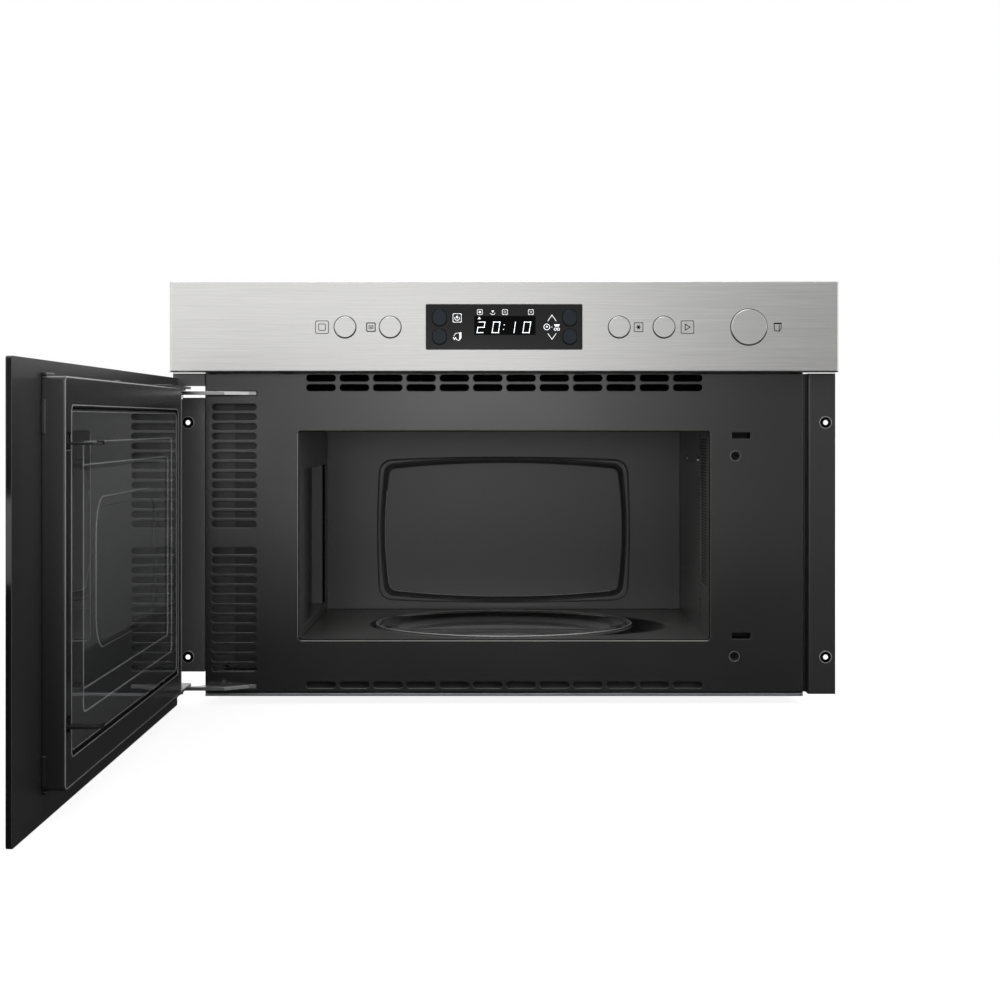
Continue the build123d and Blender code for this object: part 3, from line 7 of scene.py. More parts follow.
import bmesh
import bpy
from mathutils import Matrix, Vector


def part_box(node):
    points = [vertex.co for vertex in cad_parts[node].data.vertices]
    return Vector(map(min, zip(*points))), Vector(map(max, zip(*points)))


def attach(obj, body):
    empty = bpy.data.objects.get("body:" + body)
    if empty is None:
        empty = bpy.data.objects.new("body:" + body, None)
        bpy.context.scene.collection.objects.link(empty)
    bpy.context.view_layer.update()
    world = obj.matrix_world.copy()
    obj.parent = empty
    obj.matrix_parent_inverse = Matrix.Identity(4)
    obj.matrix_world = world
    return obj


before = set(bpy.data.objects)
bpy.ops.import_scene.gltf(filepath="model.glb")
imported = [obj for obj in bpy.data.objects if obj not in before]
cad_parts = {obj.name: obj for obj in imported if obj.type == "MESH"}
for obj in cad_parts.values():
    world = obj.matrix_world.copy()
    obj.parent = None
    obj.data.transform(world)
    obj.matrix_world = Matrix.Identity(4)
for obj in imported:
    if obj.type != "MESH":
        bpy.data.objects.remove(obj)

log = logging.getLogger("microwave")

Point = tuple[float, float, float]
Flat = tuple[float, float]
Colour = tuple[float, float, float]
Stops = tuple[Flat, ...]
Node = bpy.types.Node
Socket = bpy.types.NodeSocket
Sockets = bpy.types.bpy_prop_collection

FACE_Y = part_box("front_frame")[0].y
PANEL_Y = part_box("panel_fascia")[0].y
WINDOW_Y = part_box("display_window")[0].y
ROW_RISE = 0.866


class Axis(Enum):
    """An axis, by its place in a point."""

    X = 0
    Y = 1
    Z = 2


# Node trees


class Sheet:
    """A node tree with short calls for adding and joining its nodes."""

    def __init__(self, tree: bpy.types.NodeTree) -> None:
        """Wrap a node tree."""
        self.tree = tree

    def plug(self, source: object, socket: Socket) -> None:
        """Link a socket, or set a plain value, into another socket.

        Args:
            source: A socket, a number, a vector or a colour without its alpha.
            socket: The input to fill.
        """
        if isinstance(source, bpy.types.NodeSocket):
            self.tree.links.new(source, socket)
        elif isinstance(socket, bpy.types.NodeSocketColor):
            socket.default_value = (*source, 1.0)
        else:
            socket.default_value = source

    def fill(self, sockets: Sockets, values: dict[object, object]) -> None:
        """Plug several values in.

        Args:
            sockets: A node's inputs.
            values: What to plug in, by the input's name or number.
        """
        for key, value in values.items():
            self.plug(value, sockets[key])

    def add(self, kind: str, values: dict[object, object] | None = None, **settings: object) -> Node:
        """Add a node.

        Args:
            kind: The node's type name without its ShaderNode prefix.
            values: What to plug in, by the input's name or number.
            **settings: Properties to set on the node.

        Returns:
            The new node.
        """
        node = self.tree.nodes.new("ShaderNode" + kind)
        for key, setting in settings.items():
            setattr(node, key, setting)
        self.fill(node.inputs, values or {})
        return node

    def math(self, how: str, *values: object) -> Socket:
        """Calculate.

        Args:
            how: The operation's name.
            *values: The numbers or sockets that it takes.

        Returns:
            The result's socket.
        """
        return self.add("Math", dict(enumerate(values)), operation=how).outputs[0]

    def reach(self, first: Socket, second: Socket) -> Socket:
        """How far from the origin a point is, from its two coordinates."""
        squares = [self.math("MULTIPLY", side, side) for side in (first, second)]
        return self.math("SQRT", self.math("ADD", *squares))

    def spread(self, value: object, low: float, high: float, to_low: float, to_high: float) -> Socket:
        """Map a value from one range to another, held at the ends.

        Args:
            value: The socket to map.
            low: Start of the range read.
            high: End of the range read.
            to_low: What the start becomes.
            to_high: What the end becomes.

        Returns:
            The mapped value's socket.
        """
        values = {"Value": value, "From Min": low, "From Max": high, "To Min": to_low, "To Max": to_high}
        return self.add("MapRange", values).outputs["Result"]

    def mix(self, share: object, first: object, second: object) -> Socket:
        """Mix two colours.

        Args:
            share: How much of the second colour shows.
            first: The first colour or socket.
            second: The second colour or socket.

        Returns:
            The mixed colour's socket.
        """
        return self.add("Mix", {"Factor": share, "A": first, "B": second}, data_type="RGBA").outputs["Result"]

    def place(self, stretch: Point = (1.0, 1.0, 1.0)) -> Socket:
        """Object coordinates, stretched along each axis."""
        spot = self.add("TexCoord").outputs["Object"]
        return self.add("Mapping", {"Vector": spot, "Scale": stretch}).outputs["Vector"]

    def axes(self, vector: Socket | None = None) -> Sockets:
        """The X, Y and Z of a vector, or of the object coordinates."""
        return self.add("SeparateXYZ", {0: vector or self.place()}).outputs

    def noise(self, vector: object, scale: object, detail: float, rough: float = 0.5) -> Socket:
        """Noise value from 0 to 1.

        Args:
            vector: Where the noise is read.
            scale: Cells per metre.
            detail: Octaves.
            rough: Share that each octave keeps.

        Returns:
            The value's socket.
        """
        values = {"Vector": vector, "Scale": scale, "Detail": detail, "Roughness": rough}
        return self.add("TexNoise", values).outputs["Fac"]

    def bump(self, height: Socket, strength: float, distance: float, normal: Socket | None = None) -> Socket:
        """Normal from a height.

        Args:
            height: The height's socket.
            strength: How strongly it shows.
            distance: Height in metres of the full range.
            normal: A normal to start from.

        Returns:
            The normal's socket.
        """
        values = {"Strength": strength, "Distance": distance, "Height": height}
        if normal is not None:
            values["Normal"] = normal
        return self.add("Bump", values).outputs["Normal"]

    def seen_directly(self) -> Socket:
        """Whether the camera, a reflection or clear glass sees a surface, rather than its bounced light.

        Returns:
            The mask's socket.
        """
        path = self.add("LightPath").outputs
        looks = self.math("MAXIMUM", path["Is Camera Ray"], path["Is Transmission Ray"])
        looks = self.math("MAXIMUM", looks, path["Is Glossy Ray"])
        return self.math("MULTIPLY", looks, self.math("LESS_THAN", path["Diffuse Depth"], 0.5))

    def blend(self, share: Socket, first: Node, second: Node, out: str = "Material Output") -> None:
        """Send a mix of two shaders to an output.

        Args:
            share: How much of the second shader shows.
            first: The first shader.
            second: The second shader.
            out: The output node's name.
        """
        both = self.add("MixShader", {0: share, 1: first.outputs[0], 2: second.outputs[0]})
        self.plug(both.outputs[0], self.tree.nodes[out].inputs["Surface"])


class Effect:
    """A surface effect shared by several finishes, kept as one node group."""

    inputs: dict[str, float] = {}
    outputs: dict[str, str] = {}

    def __init__(self, name: str) -> None:
        """Name the group, which is made when it's first used."""
        self.name = name
        self.group: bpy.types.NodeTree | None = None

    def draw(self, sheet: Sheet, into: Sockets, out: Sockets) -> None:
        """Draw the effect.

        Args:
            sheet: The group's nodes.
            into: What enters the group.
            out: What leaves it.
        """
        raise NotImplementedError

    def make(self) -> bpy.types.NodeTree:
        """Make the node group.

        Returns:
            The group.
        """
        group = bpy.data.node_groups.new(self.name, "ShaderNodeTree")
        face = group.interface
        face.new_socket(name="Vector", in_out="INPUT", socket_type="NodeSocketVector")
        for name, value in self.inputs.items():
            face.new_socket(name=name, in_out="INPUT", socket_type="NodeSocketFloat").default_value = value
        for name, kind in self.outputs.items():
            face.new_socket(name=name, in_out="OUTPUT", socket_type="NodeSocket" + kind)
        entry = group.nodes.new("NodeGroupInput")
        self.draw(Sheet(group), entry.outputs, group.nodes.new("NodeGroupOutput").inputs)
        return group

    def put(self, sheet: Sheet, vector: object, **values: object) -> Sockets:
        """Place the effect in a material.

        Args:
            sheet: The material's nodes.
            vector: Where the effect is read.
            **values: Its inputs by name.

        Returns:
            What leaves the effect.
        """
        self.group = self.group or self.make()
        return sheet.add("Group", {"Vector": vector, **values}, node_tree=self.group).outputs


class BrushGrain(Effect):
    """Fine parallel brush lines, read from a vector already stretched along them."""

    inputs = {"Lines": 900.0, "Contrast": 0.5}
    outputs = {"Grain": "Float", "Streak": "Float"}

    def draw(self, sheet: Sheet, into: Sockets, out: Sockets) -> None:
        """Fine lines and broader streaks."""
        fine = sheet.noise(into["Vector"], into["Lines"], 4.0, 0.7)
        strong = sheet.math("MULTIPLY", sheet.math("SUBTRACT", fine, 0.5), into["Contrast"])
        broad = sheet.math("MULTIPLY", into["Lines"], 0.13)
        sheet.fill(out, {"Grain": sheet.math("ADD", strong, 0.5),
                         "Streak": sheet.noise(into["Vector"], broad, 2.0)})


class PaintPeel(Effect):
    """The slight waviness and fine pits of sprayed or baked paint."""

    inputs = {"Peel": 500.0, "Pits": 2500.0}
    outputs = {"Height": "Float", "Mottle": "Float"}

    def draw(self, sheet: Sheet, into: Sockets, out: Sockets) -> None:
        """Waves and pits added together, and a broad mottle."""
        waves = sheet.noise(into["Vector"], into["Peel"], 2.0, 0.4)
        pits = sheet.noise(into["Vector"], into["Pits"], 3.0, 0.6)
        broad = sheet.math("MULTIPLY", into["Peel"], 0.04)
        sheet.fill(out, {"Height": sheet.math("ADD", waves, sheet.math("MULTIPLY", pits, 0.5)),
                         "Mottle": sheet.noise(into["Vector"], broad, 0.0)})


class SoftEdge(Effect):
    """Rounded edges: a normal that bends over each edge, and a mask along it."""

    inputs = {"Radius": 0.0004}
    outputs = {"Normal": "Vector", "Edge": "Float"}

    def draw(self, sheet: Sheet, into: Sockets, out: Sockets) -> None:
        """Compare the rounded normal with the flat one."""
        soft = sheet.add("Bevel", {"Radius": into["Radius"]}, samples=6).outputs["Normal"]
        flat = sheet.add("NewGeometry").outputs["Normal"]
        bend = sheet.add("VectorMath", {0: soft, 1: flat}, operation="DOT_PRODUCT").outputs["Value"]
        sheet.fill(out, {"Normal": soft, "Edge": sheet.spread(bend, 1.0, 0.85, 0.0, 1.0)})


class Spangle(Effect):
    """The crystal pattern of hot-dip galvanised sheet."""

    inputs = {"Cells": 90.0}
    outputs = {"Tone": "Float", "Frost": "Float"}

    def draw(self, sheet: Sheet, into: Sockets, out: Sockets) -> None:
        """Cells of even tone, blurred by frost."""
        warp = sheet.add("TexNoise", {"Vector": into["Vector"], "Scale": 60.0}).outputs["Color"]
        bent = sheet.add("VectorMath", {0: warp, 1: (0.006, 0.006, 0.006), 2: into["Vector"]},
                         operation="MULTIPLY_ADD").outputs["Vector"]
        cells = sheet.add("TexVoronoi", {"Vector": bent, "Scale": into["Cells"]}).outputs["Color"]
        sheet.fill(out, {"Tone": sheet.add("SeparateColor", {"Color": cells}).outputs[0],
                         "Frost": sheet.noise(into["Vector"], 1400.0, 3.0, 0.6)})


class HoleGrid(Effect):
    """Round holes in staggered rows, read in the two axes of a flat sheet."""

    inputs = {"Pitch": 0.002, "Hole": 0.0006}
    outputs = {"Hole": "Float"}

    def draw(self, sheet: Sheet, into: Sockets, out: Sockets) -> None:
        """Distance to the nearest hole centre of a brick-like grid."""
        parts = sheet.axes(into["Vector"])
        rise = sheet.math("DIVIDE", parts["Y"], sheet.math("MULTIPLY", into["Pitch"], ROW_RISE))
        odd = sheet.math("MODULO", sheet.math("ABSOLUTE", sheet.math("FLOOR", rise)), 2.0)
        run = sheet.math("DIVIDE", parts["X"], into["Pitch"])
        shifted = sheet.math("ADD", run, sheet.math("MULTIPLY", odd, 0.5))
        across = sheet.math("SUBTRACT", sheet.math("FRACT", shifted), 0.5)
        up = sheet.math("SUBTRACT", sheet.math("FRACT", rise), 0.5)
        far = sheet.reach(across, sheet.math("MULTIPLY", up, ROW_RISE))
        inside = sheet.math("LESS_THAN", sheet.math("MULTIPLY", far, into["Pitch"]), into["Hole"])
        sheet.plug(inside, out["Hole"])


GRAIN = BrushGrain("brush grain")
PEEL = PaintPeel("paint peel")
EDGE = SoftEdge("soft edge")
SPANGLE = Spangle("zinc spangle")
HOLES = HoleGrid("hole grid")


# Finishes


def scaled(colour: Colour, by: float, more: float = 0.0) -> Colour:
    """A colour made lighter or darker, kept within range."""
    return tuple(min(1.0, c * by + more) for c in colour)


@dataclass(frozen=True)
class Finish:
    """What a surface is made of and how it is finished."""

    name: str
    colour: Colour
    rough: float
    metal: float = 0.0
    edge_radius: float = 0.0004

    def material(self) -> bpy.types.Material:
        """The finish's material, made once under a name that no slot of the record has.

        Returns:
            The Blender material.
        """
        title = "finish_" + self.name
        made = bpy.data.materials.get(title)
        if made is None:
            made = bpy.data.materials.new(title)
            made.use_nodes = True
            sheet = Sheet(made.node_tree)
            look = made.node_tree.nodes["Principled BSDF"].inputs
            sheet.fill(look, {"Base Color": self.colour, "Roughness": self.rough, "Metallic": self.metal})
            self.draw(sheet, look)
        return made

    def draw(self, sheet: Sheet, look: Sockets) -> None:
        """Draw what makes this finish more than a flat colour.

        Args:
            sheet: The material's nodes.
            look: The shader's inputs.
        """
        raise NotImplementedError

    def edge(self, sheet: Sheet) -> Sockets:
        """The rounded edges of this finish."""
        return EDGE.put(sheet, (0.0, 0.0, 0.0), Radius=self.edge_radius)

    def overlay(self, sheet: Sheet, look: Sockets, mask: Socket, colour: Colour, rough: float = 0.0) -> None:
        """Cover part of the surface.

        Args:
            sheet: The material's nodes.
            look: The shader's inputs.
            mask: Where the cover shows.
            colour: The cover's colour.
            rough: The least roughness it has.
        """
        base = look["Base Color"].links[0].from_socket
        sheet.plug(sheet.mix(mask, base, colour), look["Base Color"])
        if rough > 0.0:
            gloss = look["Roughness"].links[0].from_socket
            sheet.plug(sheet.math("MAXIMUM", gloss, sheet.math("MULTIPLY", mask, rough)), look["Roughness"])

    def dress(self, *things: bpy.types.Object) -> None:
        """Give objects this finish."""
        for thing in things:
            thing.data.materials.clear()
            thing.data.materials.append(self.material())


@dataclass(frozen=True)
class BrushedSteel(Finish):
    """Steel brushed along one axis."""

    metal: float = 1.0
    along: Axis = Axis.X
    lines: float = 1100.0
    contrast: float = 0.7
    stretch: float = 0.016

    def draw(self, sheet: Sheet, look: Sockets) -> None:
        """Brush lines in the colour, the roughness and the height."""
        spot = sheet.place(tuple(self.stretch if axis is self.along else 1.0 for axis in Axis))
        grain = GRAIN.put(sheet, spot, Lines=self.lines, Contrast=self.contrast)
        low = scaled(self.colour, 0.80)
        tone = sheet.mix(grain["Grain"], low, scaled(self.colour, 1.16))
        streak = sheet.spread(grain["Streak"], 0.3, 0.7, 0.0, 0.16)
        sheet.fill(look, {
            "Base Color": sheet.mix(streak, tone, low),
            "Roughness": sheet.spread(grain["Grain"], 0.2, 0.8, self.rough - 0.03, self.rough + 0.04),
            "Normal": sheet.bump(grain["Grain"], 0.35, 0.00003, self.edge(sheet)["Normal"])})


@dataclass(frozen=True)
class Paint(Finish):
    """Baked paint or enamel with a soft orange peel."""

    peel: float = 450.0
    pits: float = 2600.0
    wear: float = 0.0
    wear_colour: Colour = (0.16, 0.16, 0.165)
    sheen: float = 0.012
    specular: float = 0.5

    def draw(self, sheet: Sheet, look: Sockets) -> None:
        """Peel in the height, mottle in the gloss, and paler edges."""
        peel = PEEL.put(sheet, sheet.place(), Peel=self.peel, Pits=self.pits)
        edge = self.edge(sheet)
        base = sheet.mix(peel["Mottle"], scaled(self.colour, 0.96), scaled(self.colour, 1.04))
        worn = sheet.math("MULTIPLY", edge["Edge"], self.wear)
        sheet.fill(look, {
            "Base Color": sheet.mix(worn, base, self.wear_colour),
            "Roughness": sheet.spread(peel["Mottle"], 0.2, 0.8, self.rough - self.sheen, self.rough + self.sheen),
            "Specular IOR Level": self.specular,
            "Normal": sheet.bump(peel["Height"], 0.4, 0.00001, edge["Normal"])})


@dataclass(frozen=True)
class Galvanised(Finish):
    """Zinc-coated sheet with its spangle."""

    metal: float = 1.0
    cells: float = 230.0

    def draw(self, sheet: Sheet, look: Sockets) -> None:
        """Spangle in the colour and roughness."""
        spangle = SPANGLE.put(sheet, sheet.place(), Cells=self.cells)
        tone = sheet.spread(spangle["Tone"], 0.0, 1.0, self.rough - 0.025, self.rough + 0.025)
        frost = sheet.spread(spangle["Frost"], 0.3, 0.7, -0.02, 0.03)
        sheet.fill(look, {
            "Base Color": sheet.mix(spangle["Tone"], scaled(self.colour, 0.90), self.colour),
            "Roughness": sheet.math("ADD", tone, frost),
            "Normal": sheet.bump(spangle["Frost"], 0.15, 0.00002, self.edge(sheet)["Normal"])})


@dataclass(frozen=True)
class Moulded(Finish):
    """Injection-moulded plastic with a spark-eroded texture."""

    grain: float = 1500.0
    specular: float = 0.5

    def draw(self, sheet: Sheet, look: Sockets) -> None:
        """Fine grain in the height and the gloss."""
        peel = PEEL.put(sheet, sheet.place(), Peel=self.grain, Pits=self.grain * 2.2)
        sheet.fill(look, {
            "Base Color": sheet.mix(peel["Mottle"], self.colour, scaled(self.colour, 1.25)),
            "Roughness": sheet.spread(peel["Height"], 0.4, 1.0, self.rough - 0.06, self.rough + 0.06),
            "Specular IOR Level": self.specular,
            "Normal": sheet.bump(peel["Height"], 0.5, 0.00003, self.edge(sheet)["Normal"])})


@dataclass(frozen=True)
class Gloss(Finish):
    """Smooth glossy surface with faint handling marks: printed glass or polished plastic."""

    marks: float = 0.05
    specular: float = 0.5

    def draw(self, sheet: Sheet, look: Sockets) -> None:
        """Smears in the roughness, and specks of dust."""
        smear = sheet.noise(sheet.place((1.0, 1.0, 0.4)), 18.0, 1.0)
        dust = sheet.spread(sheet.noise(sheet.place(), 2200.0, 2.0), 0.72, 0.80, 0.0, 0.25)
        sheet.fill(look, {
            "Base Color": sheet.mix(dust, self.colour, scaled(self.colour, 3.0, 0.01)),
            "Roughness": sheet.spread(smear, 0.3, 0.8, self.rough, self.rough + self.marks),
            "Specular IOR Level": self.specular,
            "Normal": self.edge(sheet)["Normal"]})


@dataclass(frozen=True)
class PrintedGlass(Gloss):
    """Glass that is glossy outside and matte where its inner face is printed."""

    inner_x: float = -0.2940
    print_rough: float = 0.30
    print_colour: Colour = (0.017, 0.017, 0.0175)

    def draw(self, sheet: Sheet, look: Sockets) -> None:
        """Gloss, with the print's roughness and colour on the inner face."""
        super().draw(sheet, look)
        inner = sheet.math("GREATER_THAN", sheet.axes()["X"], self.inner_x)
        self.overlay(sheet, look, inner, self.print_colour, self.print_rough)


@dataclass(frozen=True)
class ClearGlass(Finish):
    """Clear soda glass with faint marks, which may be hazy over the middle of a disc."""

    ior: float = 1.5
    lit: float = 0.80
    haze: float = 0.0
    haze_radius: float = 0.0
    haze_fade: float = 0.004

    def draw(self, sheet: Sheet, look: Sockets) -> None:
        """Smears, a slight tint and the haze."""
        smear = sheet.noise(sheet.place((1.0, 1.0, 0.5)), 25.0, 1.0)
        clear: object = 1.0
        if self.haze > 0.0:
            parts = sheet.axes()
            radius = sheet.reach(parts["X"], parts["Y"])
            clear = sheet.spread(radius, self.haze_radius - self.haze_fade, self.haze_radius, 1.0 - self.haze, 1.0)
        sheet.fill(look, {
            "Base Color": sheet.mix(sheet.noise(sheet.place(), 4.0, 2.0), self.colour, scaled(self.colour, 1.03)),
            "Roughness": sheet.spread(smear, 0.4, 0.9, self.rough, self.rough + 0.01),
            "Transmission Weight": clear,
            "IOR": self.ior})
        self.let_light_in(sheet)

    def let_light_in(self, sheet: Sheet) -> None:
        """Let shadow and bounced rays pass straight through, so what lies behind the glass is lit."""
        path = sheet.add("LightPath").outputs
        straight = sheet.math("MAXIMUM", path["Is Shadow Ray"], path["Is Diffuse Ray"])
        passing = sheet.add("BsdfTransparent", {"Color": (self.lit, self.lit, self.lit)})
        sheet.blend(straight, sheet.tree.nodes["Principled BSDF"], passing)


@dataclass(frozen=True)
class Perforated(Paint):
    """Painted sheet with a field of small holes, drawn as spots."""

    pitch: float = 0.002
    hole: float = 0.0006
    low: Flat = (0.0, 0.0)
    high: Flat = (1.0, 1.0)
    hole_colour: Colour = (0.002, 0.002, 0.002)
    hole_rough: float = 0.9

    def draw(self, sheet: Sheet, look: Sockets) -> None:
        """Paint, with holes where the field is."""
        super().draw(sheet, look)
        parts = sheet.axes()
        flat = sheet.add("CombineXYZ", {"X": parts["Y"], "Y": parts["Z"]}).outputs[0]
        inside = HOLES.put(sheet, flat, Pitch=self.pitch, Hole=self.hole)["Hole"]
        for axis, low, high in zip("YZ", self.low, self.high):
            inside = sheet.math("MULTIPLY", inside, sheet.math("GREATER_THAN", parts[axis], low))
            inside = sheet.math("MULTIPLY", inside, sheet.math("LESS_THAN", parts[axis], high))
        self.overlay(sheet, look, inside, self.hole_colour, self.hole_rough)


@dataclass(frozen=True)
class WellShadePaint(Paint):
    """Enamel with painted shade where the pressing drops into its well, out of the light."""

    deep_z: float = 0.0
    deep_fade: float = 0.0008
    well_shade_colour: Colour = (0.05, 0.05, 0.05)

    def draw(self, sheet: Sheet, look: Sockets) -> None:
        """Paint, with painted shade in the well below its height."""
        super().draw(sheet, look)
        deep = sheet.spread(sheet.axes()["Z"], self.deep_z - self.deep_fade, self.deep_z, 1.0, 0.0)
        self.overlay(sheet, look, deep, self.well_shade_colour)


@dataclass(frozen=True)
class Striped(Finish):
    """Fine parallel bands along an axis, as in laminated steel or wound wire."""

    across: Axis = Axis.Z
    bands: float = 45.0
    second: Colour = (0.1, 0.1, 0.1)

    def draw(self, sheet: Sheet, look: Sockets) -> None:
        """Bands in the colour and the height."""
        values = {"Vector": sheet.place(), "Scale": self.bands, "Distortion": 0.4, "Detail Scale": 3.0}
        wave = sheet.add("TexWave", values, bands_direction=self.across.name).outputs["Fac"]
        sheet.fill(look, {"Base Color": sheet.mix(wave, self.colour, self.second),
                          "Normal": sheet.bump(wave, 0.6, 0.0002)})


@dataclass(frozen=True)
class Glow(Finish):
    """A lit display segment."""

    strength: float = 1.0

    def draw(self, sheet: Sheet, look: Sockets) -> None:
        """Emission that varies very slightly over the segment."""
        vary = sheet.noise(sheet.place(), 900.0, 1.0)
        sheet.fill(look, {"Emission Color": sheet.mix(vary, scaled(self.colour, 0.88), self.colour),
                          "Emission Strength": self.strength})


STAINLESS = BrushedSteel("brushed_stainless", (0.62, 0.617, 0.61), 0.31, lines=850.0, contrast=1.5)
STAINLESS_BUTTON = BrushedSteel("brushed_button", (0.62, 0.617, 0.61), 0.31, lines=850.0, contrast=0.9,
                                edge_radius=0.0006)
FRAME_BLACK = Paint("front_black", (0.0115, 0.0115, 0.0115), 0.21, edge_radius=0.0011, specular=0.8)
FLANGE_BLACK = Paint("flange_black", (0.0115, 0.0115, 0.0115), 0.292, specular=0.8)
# Black paint drawn lighter as painted light, for the left flange and as painted highlights round the two dimples.
PAINTED_LIGHT_BLACK = Paint("black_paint_painted_light", (0.070, 0.070, 0.070), 0.292, specular=0.9)
DOOR_BLACK = Paint("door_frame_black", (0.0105, 0.0105, 0.0108), 0.22, edge_radius=0.0014, specular=0.8)
ENAMEL = Paint("grey_enamel", (0.085, 0.085, 0.0835), 0.292, edge_radius=0.0016, peel=300.0, specular=0.8)
# Cavity floor with painted shade in its turntable well and scoop.
FLOOR_ENAMEL = WellShadePaint("floor_enamel", (0.085, 0.085, 0.0835), 0.292, peel=300.0, specular=0.6,
                         deep_z=0.0510, well_shade_colour=(0.012, 0.012, 0.012))
# Pale paint for painted highlights along the door frame's edges and round the flange screw holes.
EDGE_HIGHLIGHT = Paint("edge_painted_highlight", (0.22, 0.22, 0.222), 0.20, specular=1.0)
RIM_WARM = Paint("rim_warm", (0.07, 0.066, 0.050), 0.3)
# Near-black for painted shade: in the gap round the opening, in the screw countersinks, round the emboss, at the end
# of the feed recess and round the door pane.
PAINTED_SHADE = Paint("painted_shade_dark", (0.003, 0.003, 0.003), 0.6, specular=0.02)
# Pale paint for painted highlights along the emboss and on the turntable's lips.
PALE_HIGHLIGHT = Paint("pale_painted_highlight", (0.62, 0.62, 0.61), 0.35, specular=0.9)
# Painted highlight for the opening rim's lower and left sides.
RIM_HIGHLIGHT = Paint("rim_painted_highlight", (0.30, 0.30, 0.285), 0.25, specular=0.9)
GRILLE = Perforated("perforated_grille", (0.085, 0.085, 0.085), 0.30, wear=0.25, pitch=0.0032, hole=0.0009,
                    low=(-1.0, 0.097), high=(1.0, 0.232))
# The screen's holes are drawn pale, as painted light in the holes.
SCREEN = Perforated("door_screen_enamel", (0.055, 0.055, 0.056), 0.30, pitch=0.0022, hole=0.00075,
                    hole_colour=(0.27, 0.27, 0.275), low=(-0.602, 0.0935), high=(-0.27, 0.2156))
# Near-white paint for painted highlights on the door screen's steps.
SCREEN_HIGHLIGHT = Paint("door_screen_painted_highlight", (0.86, 0.86, 0.87), 0.22, specular=1.0)
GALVANISED = Galvanised("galvanised_sheet", (0.56, 0.575, 0.59), 0.42)
# Dark grey for the intake baffle behind the side vents: painted shade.
BAFFLE_GREY = Paint("baffle_grey", (0.060, 0.060, 0.061), 0.30)
# Darker grey for the guide behind the side vents: painted shade.
BAFFLE_DARK = Paint("baffle_dark", (0.022, 0.022, 0.0225), 0.34)
# Near-black for the guide behind the top vents: painted shade.
VENT_DARK = Moulded("vent_dark", (0.003, 0.003, 0.003), 0.7, specular=0.1)
SILL_GREY = Paint("sill_grey", (0.07, 0.07, 0.071), 0.4)
BRIGHT = BrushedSteel("zinc_plated", (0.72, 0.72, 0.71), 0.24, along=Axis.Y, lines=1500.0, contrast=0.4)
HINGE_STEEL = BrushedSteel("hinge_steel", (0.40, 0.40, 0.405), 0.30, lines=1500.0, contrast=0.4)
DARK_STEEL = BrushedSteel("dark_steel", (0.035, 0.035, 0.036), 0.28, lines=1500.0, contrast=0.4)
DOOR_GLASS = PrintedGlass("black_glass", (0.004, 0.004, 0.0045), 0.03)
WINDOW_GLOSS = Gloss("display_gloss", (0.0035, 0.0035, 0.0036), 0.06, specular=0.17)
LCD_BLACK = Gloss("display_black", (0.0006, 0.0006, 0.0006), 0.08, specular=0.03)
KEY_GLOSS = Gloss("key_gloss", (0.0055, 0.0105, 0.0150), 0.25, specular=0.22)
TURNTABLE_GLASS = ClearGlass("clear_glass", (0.80, 0.815, 0.80), 0.0, haze=0.14, haze_radius=0.107)
PANE = ClearGlass("door_pane_glass", (0.86, 0.87, 0.88), 0.0)
LAMP_GLASS = ClearGlass("lamp_glass", (0.96, 0.95, 0.90), 0.02)
BLACK_PLASTIC = Moulded("black_plastic", (0.012, 0.012, 0.012), 0.5)
GREY_PLASTIC = Moulded("grey_plastic", (0.30, 0.31, 0.32), 0.5)
NYLON = Moulded("white_nylon", (0.66, 0.65, 0.60), 0.42)
ROLLER_GREY = Moulded("roller_nylon", (0.09, 0.09, 0.085), 0.42)
BOARD = Moulded("board_green", (0.02, 0.12, 0.05), 0.35, grain=700.0)
MICA = Moulded("mica_sheet", (0.06, 0.06, 0.058), 0.4, grain=500.0)
ALUMINIUM = BrushedSteel("drawn_aluminium", (0.78, 0.78, 0.79), 0.30, along=Axis.Z)
LAMINATED = Striped("laminated_steel", (0.16, 0.155, 0.15), 0.5, 0.6, across=Axis.Y, second=(0.07, 0.065, 0.06))
COPPER = Striped("wound_copper", (0.42, 0.14, 0.05), 0.35, 0.8, bands=80.0, second=(0.16, 0.05, 0.02))
DIGIT_GLOW = Glow("digit_glow", (0.93, 0.97, 1.0), 0.4, strength=0.80)
ICON_GLOW = Glow("icon_glow", (0.93, 0.94, 0.95), 0.4, strength=0.42)
# Black ink for the printed icons, also used as painted shade in the gaps round the buttons.
INK_AND_GAP_SHADE = Moulded("ink_and_gap_shade", (0.012, 0.012, 0.0125), 0.6, specular=0.2)

